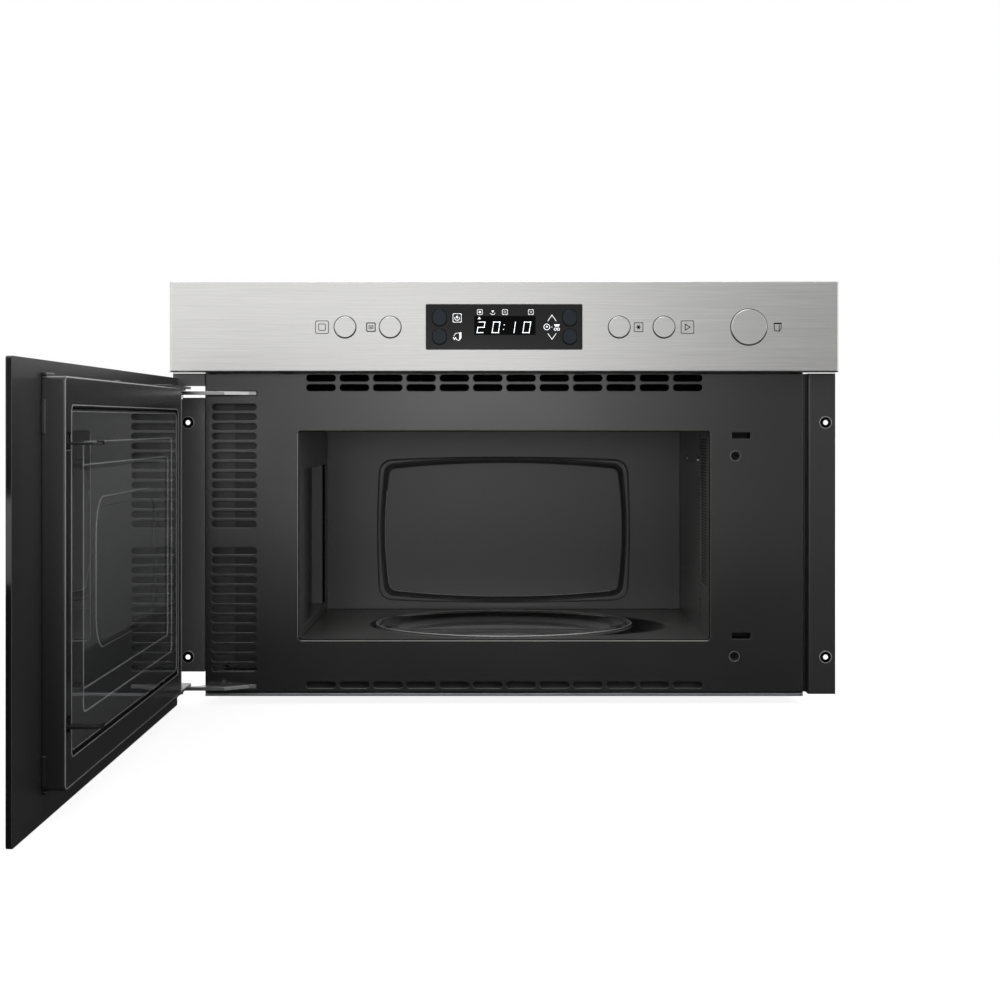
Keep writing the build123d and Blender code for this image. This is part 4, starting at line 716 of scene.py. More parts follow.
CAD_FINISHES = {
    STAINLESS: "panel_fascia",
    STAINLESS_BUTTON: "stop_button power_button defrost_button start_button door_button",
    WINDOW_GLOSS: "display_window display_module",
    KEY_GLOSS: "clock_key mode_key up_key down_key",
    FRAME_BLACK: "front_frame",
    FLANGE_BLACK: "flange_right",
    # The left flange takes the lighter black: painted light.
    PAINTED_LIGHT_BLACK: "flange_left",
    GALVANISED: "base_plate outer_wrap rear_cover component_deck waveguide",
    BAFFLE_GREY: "intake_baffle",
    ENAMEL: "cavity_liner",
    FLOOR_ENAMEL: "cavity_floor",
    GRILLE: "air_grille",
    MICA: "feed_cover",
    LAMP_GLASS: "cavity_lamp",
    TURNTABLE_GLASS: "turntable_glass",
    ROLLER_GREY: "roller_ring roller_wheel_1 roller_wheel_2 roller_wheel_3 drive_coupler",
    DOOR_GLASS: "door_glass",
    DOOR_BLACK: "door_frame door_brackets door_clips",
    PANE: "door_pane",
    SCREEN: "door_screen",
    NYLON: "hinge_bushes",
    HINGE_STEEL: "hinge_plates",
    BRIGHT: "hinge_pins screws",
    DARK_STEEL: "latch_hooks",
    BLACK_PLASTIC: "panel_carrier mains_gland latch_housing microswitches fan_shroud fan_impeller",
    GREY_PLASTIC: "release_lever lamp_holder",
    BOARD: "control_board power_board filter_board",
    ALUMINIUM: "turntable_motor magnetron hv_capacitor",
    LAMINATED: "transformer_core fan_motor",
    COPPER: "transformer_windings"}


# Meshes


class Maker:
    """Builds a piece's mesh, in metres, and hands it to a CAD body."""

    def __init__(self, name: str, finish: Finish, slot: str, body: str = "body") -> None:
        """Start an empty piece.

        Args:
            name: The piece's name.
            finish: Its finish.
            slot: The record's material slot; it is kept but not used.
            body: The CAD body that it rides on.
        """
        self.name = name
        self.finish = finish
        self.slot = slot
        self.body = body
        self.mesh = bmesh.new()

    def solid(self, outline: list[Point], push: Point) -> None:
        """Add a prism.

        Args:
            outline: Corners of the base face, in order.
            push: From the base face to the far one.
        """
        base = [self.mesh.verts.new(p) for p in outline]
        far = [self.mesh.verts.new(Vector(p) + Vector(push)) for p in outline]
        self.mesh.faces.new(base)
        self.mesh.faces.new(list(reversed(far)))
        for i in range(len(base)):
            self.mesh.faces.new((base[i], base[i - 1], far[i - 1], far[i]))

    def lathe(self, outline: list[Flat], centre: Point, axis: Axis, steps: int = 32, sign: float = -1.0) -> None:
        """Add a turned shape.

        Args:
            outline: Points of radius and place along the axis, from the middle out and back.
            centre: The axis's origin.
            axis: The axis that it's turned about.
            steps: Sides of the round.
            sign: Which way the axis points.
        """
        rings = []
        for radius, along in outline:
            ring = []
            for i in range(steps if radius > 0.0 else 1):
                turn = 2 * math.pi * i / steps
                spot = [0.0, 0.0, 0.0]
                spot[axis.value] = along * sign
                spot[(axis.value + 1) % 3] = radius * math.cos(turn)
                spot[(axis.value + 2) % 3] = radius * math.sin(turn)
                ring.append(self.mesh.verts.new(Vector(centre) + Vector(spot)))
            rings.append(ring)
        for inner, outer in zip(rings, rings[1:]):
            for i in range(steps):
                j = (i + 1) % steps
                corners = [inner[i % len(inner)], outer[i % len(outer)], outer[j % len(outer)], inner[j % len(inner)]]
                self.mesh.faces.new(list(dict.fromkeys(corners)))

    def bead(self, path: list[Point], out: Point, radius: float, steps: int = 8) -> None:
        """Add a round bead along a closed flat outline.

        Args:
            path: Points of its middle, in order.
            out: Unit vector square to the outline's plane.
            radius: Its radius.
            steps: Sides of its section.
        """
        lift = Vector(out)
        rings = []
        for i, spot in enumerate(path):
            side = (Vector(path[(i + 1) % len(path)]) - Vector(path[i - 1])).normalized().cross(lift)
            turns = [2 * math.pi * step / steps for step in range(steps)]
            section = [(side * math.cos(turn) + lift * math.sin(turn)) * radius for turn in turns]
            rings.append([self.mesh.verts.new(Vector(spot) + off) for off in section])
        for near, far in zip(rings, rings[1:] + rings[:1]):
            for i in range(steps):
                self.mesh.faces.new((near[i - 1], near[i], far[i], far[i - 1]))

    def done(self, smooth: float = 0.0, bevel: float = 0.0) -> None:
        """Finish the piece.

        Args:
            smooth: Edges flatter than this angle, in degrees, shade smooth.
            bevel: Width of a bevel on its sharp edges.
        """
        bmesh.ops.recalc_face_normals(self.mesh, faces=self.mesh.faces)
        data = bpy.data.meshes.new(self.name)
        self.mesh.to_mesh(data)
        self.mesh.free()
        piece = link(bpy.data.objects.new(self.name, data))
        if bevel > 0.0:
            round_off = piece.modifiers.new("soft_edges", "BEVEL")
            round_off.width = bevel
            round_off.segments = 2
            round_off.limit_method = "ANGLE"
        if smooth > 0.0:
            data.shade_smooth()
            data.set_sharp_from_angle(angle=math.radians(smooth))
        self.finish.dress(piece)
        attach(piece, self.body)
        log.info("made %s", self.name)


class Plate(Maker):
    """Builds flat shapes that face the front and share one plane."""

    def __init__(self, name: str, finish: Finish, slot: str, y: float, thick: float) -> None:
        """Start an empty piece.

        Args:
            name: The piece's name.
            finish: Its finish.
            slot: The record's material slot, passed on to the maker.
            y: The front face's Y.
            thick: How far it reaches back.
        """
        super().__init__(name, finish, slot)
        self.y = y
        self.thick = thick

    def shape(self, corners: list[Flat]) -> None:
        """Add a filled shape, from its corners in X and Z."""
        self.solid([(x, self.y, z) for x, z in corners], (0.0, self.thick, 0.0))

    def line(self, path: list[Flat], wide: float, closed: bool = False) -> None:
        """Add a line of even width.

        Args:
            path: Points of its middle, in X and Z.
            wide: Its width.
            closed: Whether it returns to its start.
        """
        ends = path[1:] + path[:1] if closed else path[1:]
        for a, b in zip(map(Vector, path), map(Vector, ends)):
            along = (b - a).normalized() * wide / 2
            side = Vector((-along.y, along.x))
            self.shape([tuple(c) for c in (a - along - side, b + along - side, b + along + side, a - along + side)])

    def frame(self, centre: Flat, size: Flat, corner: float, wide: float) -> None:
        """Add the outline of a rectangle with round corners.

        Args:
            centre: Its middle, in X and Z.
            size: Its width and height.
            corner: Radius of the corners.
            wide: The line's width.
        """
        self.line(round_rect(centre, size, corner), wide, True)


def link(thing: bpy.types.Object) -> bpy.types.Object:
    """Put an object into the scene and return it."""
    bpy.context.scene.collection.objects.link(thing)
    return thing


def arc(centre: Flat, radius: float, start: float, end: float, steps: int = 8) -> list[Flat]:
    """Points along an arc.

    Args:
        centre: The arc's centre.
        radius: Its radius.
        start: Angle of the first point, in degrees.
        end: Angle of the last point.
        steps: Parts that the arc has.

    Returns:
        The points.
    """
    turns = [math.radians(start + (end - start) * i / steps) for i in range(steps + 1)]
    return [(centre[0] + radius * math.cos(turn), centre[1] + radius * math.sin(turn)) for turn in turns]


def ring(centre: Flat, radius: float, steps: int = 12) -> list[Flat]:
    """Points round a whole circle."""
    return arc(centre, radius, 0.0, 360.0 - 360.0 / steps, steps - 1)


def rect(centre: Flat, wide: float, high: float) -> list[Flat]:
    """Corners of a rectangle about its centre."""
    x, z = centre
    return [(x - wide / 2, z - high / 2), (x + wide / 2, z - high / 2),
            (x + wide / 2, z + high / 2), (x - wide / 2, z + high / 2)]


def round_rect(centre: Flat, size: Flat, radius: float, steps: int = 5) -> list[Flat]:
    """Outline of a rectangle with round corners.

    Args:
        centre: Its middle.
        size: Its width and height.
        radius: Radius of the corners.
        steps: Parts of each corner.

    Returns:
        The points, in order.
    """
    x, z = centre
    reach_x, reach_z = (side / 2 - radius for side in size)
    points: list[Flat] = []
    for turn, (way_x, way_z) in enumerate(((1, 1), (-1, 1), (-1, -1), (1, -1))):
        middle = (x + way_x * reach_x, z + way_z * reach_z)
        points += arc(middle, radius, turn * 90.0, turn * 90.0 + 90.0, steps)
    return points


# Control panel


class Digit(Enum):
    """Strokes of the clock's digits, in half-widths and half-heights from a digit's middle."""

    ZERO = (((-1, 0.1), (-1, 1), (1, 1), (1, 0.1)), ((-1, -0.1), (-1, -1), (1, -1), (1, -0.1)))
    ONE = (((1, 1), (1, 0.1)), ((1, -0.1), (1, -1)))
    TWO = (((-0.9, 1), (1, 1), (1, 0), (-1, 0), (-1, -1), (0.9, -1)),)


@dataclass(frozen=True)
class ControlPanel:
    """What is printed on the stainless fascia and lit on its display, with painted shade round the buttons."""

    film: float = 0.00006
    ink_line: float = 0.0006
    sign_line: float = 0.00045
    icon_z: float = 0.3321
    icon_x: tuple[float, ...] = (-0.162, -0.1185, 0.1195, 0.163)
    sign_z: float = 0.3455
    sign_x: Point = (-0.0216, 0.0007, 0.0238)
    pot: Flat = (-0.0102, 0.3455)
    clock: Flat = (-0.0418, 0.3403)
    timer: Flat = (0.0379, 0.3323)
    half_digit: Flat = (0.0028, 0.0047)
    digit_slant: float = 0.15
    digit_bar: float = 0.00064
    digit_z: float = 0.33194
    digits_at: tuple[tuple[float, Digit], ...] = (
        (-0.0206, Digit.TWO), (-0.0072, Digit.ZERO), (0.0066, Digit.ONE), (0.0201, Digit.ZERO))
    colon: tuple[Flat, ...] = ((0.0001, 0.3341), (-0.0006, 0.3301))

    def printed(self, name: str) -> Plate:
        """Start an icon printed on the fascia."""
        return Plate(name, INK_AND_GAP_SHADE, "black_plastic", PANEL_Y - self.film, self.film * 1.5)

    def lit(self, name: str, finish: Finish = ICON_GLOW) -> Plate:
        """Start a lit sign on the display window."""
        return Plate(name, finish, "window_gloss", WINDOW_Y - self.film, self.film * 1.5)

    def fascia_icons(self) -> None:
        """Signs beside the buttons: two squares, waves, snow star, play arrow and open door."""
        z = self.icon_z
        line = self.ink_line
        stop_x, power_x, star_x, play_x = self.icon_x
        stop = self.printed("icon_stop")
        stop.frame((stop_x, z), (0.0115, 0.0112), 0.0016, line)
        stop.frame((stop_x, z), (0.0059, 0.0057), 0.0009, line)
        stop.done()
        power = self.printed("icon_power")
        power.frame((power_x, z), (0.0076, 0.0074), 0.0010, line * 1.5)
        for lift in (-0.0012, 0.0, 0.0012):
            wave = [(power_x + (i - 3) * 0.0007, z + lift + 0.00035 * math.sin(i * 1.6)) for i in range(7)]
            power.line(wave, line * 0.9)
        power.done()
        star = self.printed("icon_defrost")
        star.frame((star_x, z), (0.0078, 0.0078), 0.0006, line * 1.1)
        for turn in (0, 60, 120):
            star.line(arc((star_x, z), 0.0021, turn + 180, turn, 1), line)
        star.shape(ring((star_x, z), 0.0013))
        star.done()
        play = self.printed("icon_start")
        play.frame((play_x, z), (0.0112, 0.0112), 0.0009, line)
        play.line([(0.1611, z - 0.0027), (0.1654, z), (0.1611, z + 0.0027)], line * 1.2, True)
        play.done()
        door = self.printed("icon_door")
        shell = [(0.2400, z + 0.0036), (0.2464, z + 0.0037), (0.2462, z - 0.0012), (0.2446, z - 0.0036),
                 (0.2404, z - 0.0029)]
        door.line(shell, line * 1.2, True)
        door.line([(0.2447, z + 0.0022), (0.2445, z - 0.0030)], line)
        door.line([(0.2404, z + 0.0031), (0.2460, z + 0.0031)], line * 1.3)
        door.done()

    def button_gap_shades(self) -> None:
        """Dark line round each button's hole: painted shade in the gap."""
        rings = Maker("button_gap_shade_rings", INK_AND_GAP_SHADE, "black_plastic")
        for name in CAD_FINISHES[STAINLESS_BUTTON].split():
            low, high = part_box(name)
            inner = (high.x - low.x) / 2 + 0.0001
            outer = inner + self.ink_line
            outline = [(inner, 0.0), (inner, self.film), (outer, self.film), (outer, 0.0)]
            rings.lathe(outline, ((low.x + high.x) / 2, PANEL_Y, (low.z + high.z) / 2), Axis.Y, 64)
        rings.done(smooth=40.0)

    def digits(self) -> None:
        """The clock's four digits, its colon and its pointer, over the black display."""
        glass = Plate("display_glass", LCD_BLACK, "window_gloss", WINDOW_Y - self.film * 0.4, self.film * 0.6)
        glass.shape(rect((0.00065, 0.33365), 0.0545, 0.0169))
        glass.done()
        made = self.lit("clock_digits", DIGIT_GLOW)
        half_wide, half_high = self.half_digit
        for x, digit in self.digits_at:
            for stroke in digit.value:
                path = [(x + along * half_wide + up * half_high * self.digit_slant, self.digit_z + up * half_high)
                        for along, up in stroke]
                made.line(path, self.digit_bar)
        for middle in self.colon:
            made.shape(rect(middle, self.digit_bar * 1.2, self.digit_bar * 1.2))
        made.shape([(-0.0235, 0.3393), (-0.0207, 0.3393), (-0.0221, 0.3412)])
        made.done()

    def display_signs(self) -> None:
        """Four small programme signs in a row over the digits."""
        fine = self.sign_line * 0.75
        z = self.sign_z
        first, second, third = self.sign_x
        pot_x, pot_z = self.pot
        signs = self.lit("display_signs")
        for x in self.sign_x:
            signs.frame((x, z), (0.0045, 0.0045), 0.0009, fine)
        signs.shape(ring((first, z), 0.0011))
        signs.shape([(pot_x - 0.0012, pot_z + 0.0014), (pot_x + 0.0012, pot_z + 0.0014), (pot_x, pot_z - 0.0008)])
        signs.line(arc((pot_x, pot_z - 0.0001), 0.0022, 200, 340), fine)
        for lift in (-0.0009, 0.0, 0.0009):
            signs.line([(second - 0.0011, z + lift), (second + 0.0011, z + lift)], fine * 0.6)
        for way in (-0.0011, 0.0011):
            signs.line([(third - way, z - 0.0011), (third + way, z + 0.0011)], fine * 0.7)
        signs.done()

    def key_signs(self) -> None:
        """Signs beside the keys: clock, mode, arrows, time and weight."""
        line = self.sign_line
        clock_x, clock_z = self.clock
        timer_x, timer_z = self.timer
        signs = self.lit("key_signs")
        signs.frame(self.clock, (0.0074, 0.0075), 0.0009, line)
        signs.line(arc(self.clock, 0.0021, 160, 380, 10), line)
        signs.shape(ring((clock_x, clock_z + 0.0009), 0.0010))
        signs.line([(clock_x, clock_z + 0.0009), (clock_x, clock_z - 0.0007)], line * 0.8)
        signs.line([(-0.0447, 0.3243), (-0.0431, 0.3266), (-0.0383, 0.3272), (-0.0383, 0.3225), (-0.0403, 0.3203),
                    (-0.0420, 0.3209)], line)
        signs.shape([(-0.0399, 0.3268), (-0.0383, 0.3270), (-0.0383, 0.3225), (-0.0399, 0.3207)])
        signs.line([(-0.0452, 0.3230), (-0.0444, 0.3212), (-0.0432, 0.3228), (-0.0424, 0.3210)], line * 1.4)
        for foot, tip in ((0.3377, 0.3428), (0.3264, 0.3213)):
            signs.line([(0.0389, foot), (0.0425, tip), (0.0462, foot)], line * 1.1)
        signs.line(arc(self.timer, 0.0026, 0, 345, 18), line, True)
        signs.shape(ring((timer_x + 0.0001, timer_z + 0.0002), 0.0009))
        signs.line([(0.0417, 0.3322), (0.0430, 0.3322)], line * 0.7)
        signs.shape([(0.0443, 0.3346), (0.0495, 0.3346), (0.0485, 0.3326), (0.0453, 0.3326)])
        for x in (0.0455, 0.0483):
            signs.line(ring((x, 0.3303), 0.0011), line * 0.9, True)
        signs.done()

    def build(self) -> None:
        """Add what is printed or lit on the panel."""
        self.fascia_icons()
        self.button_gap_shades()
        self.digits()
        self.display_signs()
        self.key_signs()


# The body and what it carries


@dataclass(frozen=True)
class Casing:
    """Marks, guides and rims on the front frame, the flanges and the casing sheets, several of them painted shade and
    painted highlights.
    """

    weld_radius: float = 0.0024
    weld_height: float = 0.00025
    weld_inset: float = 0.006
    rear_inset: float = 0.014
    recess: Flat = (0.0038, 0.0007)
    wall_screw_x: float = 0.1832
    wall_screw_z: float = 0.2117
    wall_screw_depths: Flat = (0.0988, 0.2060)
    sheet: float = 0.0008
    flange_y: float = -0.1526
    flange_holes: tuple[Flat, Flat] = ((-0.2840, 0.2888), (0.0366, 0.2473))
    dimples: tuple[Flat, ...] = ((0.2081, 0.2172), (0.2072, 0.0367))
    opening: tuple[Flat, Flat] = ((-0.1858, 0.0508), (0.1858, 0.2404))
    rim_gap: float = 0.003

    def spot_welds(self) -> None:
        """Shallow weld marks along the casing's front and rear edges."""
        low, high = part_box("outer_wrap")
        welds = Maker("casing_welds", GALVANISED, "galvanised")
        disc = [(0.0, self.weld_height), (self.weld_radius * 0.75, self.weld_height), (self.weld_radius, 0.0)]
        for side, x in ((1.0, high.x), (-1.0, low.x)):
            for step in range(6):
                for y in (low.y + 0.007, high.y - self.weld_inset):
                    welds.lathe(disc, (x, y, low.z + 0.03 + step * 0.052), Axis.X, 20, side)
        for step in range(9):
            for y in (low.y + self.weld_inset, high.y - self.weld_inset):
                welds.lathe(disc, (-0.24 + step * 0.06, y, high.z), Axis.Z, 20, 1.0)
        welds.done(smooth=50.0)

    def screw_recess_shades(self) -> None:
        """Black crosses on the rear screws and the two inside the cavity: painted shade in their cross recesses."""
        cross = Maker("screw_recess_shades", BLACK_PLASTIC, "black_plastic")
        low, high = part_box("rear_cover")
        rear_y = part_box("screws")[1].y - 0.0004
        wall_x = self.wall_screw_x - 0.00004
        for bar in (self.recess, self.recess[::-1]):
            for x in (low.x + self.rear_inset, 0.0, high.x - self.rear_inset):
                for z in (0.014, high.z - self.rear_inset):
                    cross.solid([(a, rear_y, b) for a, b in rect((x, z), *bar)], (0.0, 0.00045, 0.0))
            for depth in self.wall_screw_depths:
                shape = rect((FACE_Y + depth, self.wall_screw_z), *bar)
                cross.solid([(wall_x, a, b) for a, b in shape], (0.0004, 0.0, 0.0))
        cross.done()

    def air_guides(self) -> None:
        """Sloping guides behind the vents, which keep the bay out of sight: the top and side ones dark, as painted
        shade behind the slots, the bottom one mid grey.
        """
        self.slope("top_air_guide", VENT_DARK, "black_plastic", (0.0025, 0.271), (0.034, 0.297))
        self.slope("bottom_air_guide", SILL_GREY, "black_paint", (0.004, 0.0045), (0.020, 0.022))
        side = Plate("side_air_guide", BAFFLE_DARK, "black_paint", FACE_Y + 0.017, self.sheet)
        side.shape(rect((-0.2312, 0.146), 0.0265, 0.244))
        side.done()

    def slope(self, name: str, finish: Finish, slot: str, near: Flat, far: Flat) -> None:
        """Make a thin sheet that climbs as it goes back.

        Args:
            name: The piece's name.
            finish: Its finish.
            slot: The record's material slot.
            near: Depth behind the frame's face, and Z, of its front edge.
            far: The same of its rear edge.
        """
        left, right = (-0.186, 0.186)
        made = Maker(name, finish, slot)
        edge = [(left, FACE_Y + depth, z) for depth, z in (near, far)]
        upper = [(x, y, z + self.sheet) for x, y, z in reversed(edge)]
        made.solid(edge + upper, (right - left, 0.0, 0.0))
        made.done()

    def opening_rim(self) -> None:
        """Folded rim of the cavity opening: a pale painted highlight below and at the left, a warm line above and at
        the right, and painted shadow in the gap behind.
        """
        (left, bottom), (right, top) = self.opening
        gap = self.rim_gap
        y = FACE_Y - 0.0003
        thick = 0.0006
        for name, finish, z, level, x, upright in (
                ("opening_rim_painted_highlight", RIM_HIGHLIGHT, bottom, 0.0007, left, 0.00045),
                ("opening_rim_warm", RIM_WARM, top, 0.0006, right, 0.0004)):
            rim = Plate(name, finish, "enamel", y, thick)
            rim.line([(left + gap, z), (right - gap, z)], level)
            rim.line([(x, bottom + gap), (x, top - gap)], upright)
            rim.done()
        dark = Plate("opening_rim_painted_shadow", PAINTED_SHADE, "black_paint", FACE_Y + 0.0002, thick)
        size = (right - left - 0.0018, top - bottom - 0.0018)
        dark.frame(((left + right) / 2, (bottom + top) / 2), size, gap, 0.0007)
        dark.done()

    def hole_rings(self) -> None:
        """Rims round the cabinet screw holes and the two dimples: painted shade in each countersink, a pale painted
        highlight round each hole and a lighter painted highlight round each dimple.
        """
        holes = [(x, self.flange_y, z) for x in self.flange_holes[0] for z in self.flange_holes[1]]
        dimples = [(x, FACE_Y, z) for x, z in self.dimples]
        for name, finish, outline, centres in (
                ("flange_hole_painted_shade", PAINTED_SHADE,
                 [(0.0022, -0.0003), (0.0022, 0.0001), (0.0048, 0.0002), (0.0050, 0.0)], holes),
                ("flange_hole_painted_highlights", EDGE_HIGHLIGHT,
                 [(0.0049, 0.0), (0.0050, 0.0003), (0.0053, 0.0003), (0.0056, 0.0)], holes),
                ("dimple_painted_highlights", PAINTED_LIGHT_BLACK,
                 [(0.0043, -0.0002), (0.0043, 0.0001), (0.0046, 0.0002), (0.0049, 0.0)], dimples)):
            rims = Maker(name, finish, "black_paint")
            for centre in centres:
                rims.lathe(outline, centre, Axis.Y)
            rims.done(smooth=60.0)

    def build(self) -> None:
        """Add the casing's small parts and marks."""
        self.spot_welds()
        self.screw_recess_shades()
        self.air_guides()
        self.opening_rim()
        self.hole_rings()


@dataclass(frozen=True)
class Cavity:
    """Seam of the enamelled cavity, with painted shadow and highlight lines on its emboss, its turntable's lips and
    its feed recess.
    """

    wall_x: float = 0.1848
    seam_y: float = FACE_Y + 0.0795
    seam_z: Flat = (0.0555, 0.237)
    seam_width: float = 0.0022
    rear_y: float = FACE_Y + 0.290
    emboss_z: float = 0.1349
    emboss_steps: int = 14
    # Points of the emboss outline along its left and lower edges, which carry the painted highlight.
    painted_highlight_span: tuple[int, int] = (20, 51)
    lip_radius: float = 0.0004

    def wall_seam(self) -> None:
        """Lapped seam down the right wall, with a row of weld dots."""
        seam = Maker("wall_seam", ENAMEL, "enamel")
        middle = (self.seam_y + self.seam_width / 2, sum(self.seam_z) / 2)
        outline = rect(middle, self.seam_width, self.seam_z[1] - self.seam_z[0])
        seam.solid([(self.wall_x, y, z) for y, z in outline], (-0.00045, 0.0, 0.0))
        disc = [(0.0, 0.0006), (0.0011, 0.0005), (0.0015, 0.0)]
        for step in range(12):
            seam.lathe(disc, (self.wall_x, self.seam_y + 0.0058, 0.066 + step * 0.0143), Axis.X, 16)
        seam.done(smooth=50.0, bevel=0.0002)

    def pillow(self, wide: float, high: float, bow: Flat, corner: float) -> list[Flat]:
        """Outline of the rear wall's embossed panel, a rectangle whose sides bow out.

        Args:
            wide: Width between its corners.
            high: Height between its corners.
            bow: How far its upright and its level sides bow out.
            corner: How much of each corner is rounded off.

        Returns:
            The points in X and Z, anticlockwise from the right end of the top side.
        """
        steps = self.emboss_steps
        half = Vector((wide / 2, high / 2))
        sides = []
        for turn in range(4):
            along = Vector(((-1, 0), (0, -1), (1, 0), (0, 1))[turn])
            across = Vector(((0, 1), (-1, 0), (0, -1), (1, 0))[turn])
            level = turn % 2
            shares = [(2 * i / steps - 1) * (1 - corner / half[level]) for i in range(steps + 1)]
            sides.append([along * share * half[level]
                          + across * (half[1 - level] + bow[1 - level] * (1 - share * share)) for share in shares])
        points: list[Flat] = []
        for i, side in enumerate(sides):
            points += [(p.x, self.emboss_z + p.y) for p in side]
            start = side[-1]
            end = sides[(i + 1) % 4][0]
            tip = Vector((math.copysign(half.x, start.x), math.copysign(half.y, start.y)))
            for share in (0.25, 0.5, 0.75):
                bent = start * (1 - share) ** 2 + tip * 2 * share * (1 - share) + end * share ** 2
                points.append((bent.x, self.emboss_z + bent.y))
        return points

    def emboss_lines(self) -> None:
        """Fine lines along the edges of the embossed panel: a painted shadow line round its outer edge, an enamel
        line on its slope, and a painted highlight along its left and lower edges.
        """
        dark = Plate("emboss_painted_shadow", PAINTED_SHADE, "enamel", self.rear_y - 0.0001, 0.0003)
        dark.line(self.pillow(0.2594, 0.1461, (0.0025, 0.0032), 0.014), 0.0006, True)
        dark.done()
        grey = Plate("emboss_slope_line", ENAMEL, "enamel", self.rear_y + 0.0012, 0.0004)
        grey.line(self.pillow(0.2455, 0.1345, (0.005, 0.0065), 0.010), 0.0008, True)
        grey.done()
        pale = Plate("emboss_painted_highlight", PALE_HIGHLIGHT, "enamel", self.rear_y + 0.0046, 0.0004)
        pale.line(self.pillow(0.2386, 0.1272, (0.005, 0.0065), 0.007)[slice(*self.painted_highlight_span)], 0.0006)
        pale.done()

    def turntable_rims(self) -> None:
        """Pale beads on the fire-polished lips of the turntable: painted highlights where they catch the light."""
        low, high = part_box("turntable_glass")
        middle = ((low.x + high.x) / 2, (low.y + high.y) / 2)
        radius = (high.x - low.x) / 2
        rims = Maker("turntable_lip_highlights", PALE_HIGHLIGHT, "clear_glass", "glass_plate")
        for reach, z in ((radius - 0.0008, high.z - 0.0003), (radius * 0.79, high.z - 0.0125)):
            rims.bead([(x, y, z) for x, y in ring(middle, reach, 120)], (0.0, 0.0, 1.0), self.lip_radius, 6)
        rims.done(smooth=60.0)

    def recess_back(self) -> None:
        """Dark plate at the deep end of the feed recess: painted shade."""
        step = Plate("feed_recess_painted_shade", PAINTED_SHADE, "enamel", FACE_Y + 0.2644, 0.0004)
        step.shape(rect((-0.1902, 0.1320), 0.0102, 0.1430))
        step.done()

    def build(self) -> None:
        """Add the seam, the painted lines of the emboss, the painted highlights on the turntable's lips and the
        painted shade in the recess.
        """
        self.wall_seam()
        self.emboss_lines()
        self.turntable_rims()
        self.recess_back()


@dataclass(frozen=True)
class Bead:
    """A round bead along a rectangle with round corners, square to X."""

    x: float
    middle: Flat
    size: Flat
    corner: float
    radius: float

    def add(self, made: Maker) -> None:
        """Add the bead to a piece."""
        outline = round_rect(self.middle, self.size, self.corner, 6)
        made.bead([(self.x, y, z) for y, z in outline], (1.0, 0.0, 0.0), self.radius)


@dataclass(frozen=True)
class Door:
    """Beads of the open door's screen and inner frame, drawn as painted highlights and painted shade."""

    frame_middle: Flat = (-0.4485, 0.1455)
    screen_highlight_beads: tuple[Bead, ...] = (
        Bead(-0.2820, (-0.4350, 0.1445), (0.3490, 0.1800), 0.006, 0.0006),
        Bead(-0.2840, (-0.4350, 0.1440), (0.3340, 0.1500), 0.006, 0.0006),
        Bead(-0.2860, (-0.4340, 0.1420), (0.2320, 0.1060), 0.025, 0.0006))
    frame_highlight_beads: tuple[Bead, ...] = (
        Bead(-0.2786, frame_middle, (0.4490, 0.2610), 0.003, 0.0005),
        Bead(-0.2785, frame_middle, (0.4140, 0.2260), 0.005, 0.0005),
        Bead(-0.2792, frame_middle, (0.4060, 0.2180), 0.004, 0.0004))
    # Dark bead round the pane: painted shade in its gap.
    pane_gap_shade: tuple[Bead, ...] = (Bead(-0.2791, frame_middle, (0.4110, 0.2230), 0.005, 0.0009),)

    def build(self) -> None:
        """Add pale beads on the screen's steps and the frame as painted highlights, and a dark bead round the pane as
        painted shade in its gap.
        """
        for name, finish, slot, beads in (("screen_highlight_beads", SCREEN_HIGHLIGHT, "enamel", self.screen_highlight_beads),
                                          ("door_frame_highlight_beads", EDGE_HIGHLIGHT, "black_paint", self.frame_highlight_beads),
                                          ("door_pane_gap_shade", PAINTED_SHADE, "black_paint", self.pane_gap_shade)):
            made = Maker(name, finish, slot, "door")
            for bead in beads:
                bead.add(made)
            made.done(smooth=60.0)


# Studio


def panel(name: str, wide: float, high: float) -> tuple[bpy.types.Object, Sheet]:
    """Make a rectangle about its origin, with a material of its own.

    Args:
        name: Its name.
        wide: Its size along X.
        high: Its size along Y.

    Returns:
        The rectangle and its material's nodes.
    """
    data = bpy.data.meshes.new(name)
    data.from_pydata([(x, y, 0.0) for x, y in rect((0.0, 0.0), wide, high)], [], [(0, 1, 2, 3)])
    made = bpy.data.materials.new(name + "_look")
    made.use_nodes = True
    data.materials.append(made)
    return link(bpy.data.objects.new(name, data)), Sheet(made.node_tree)


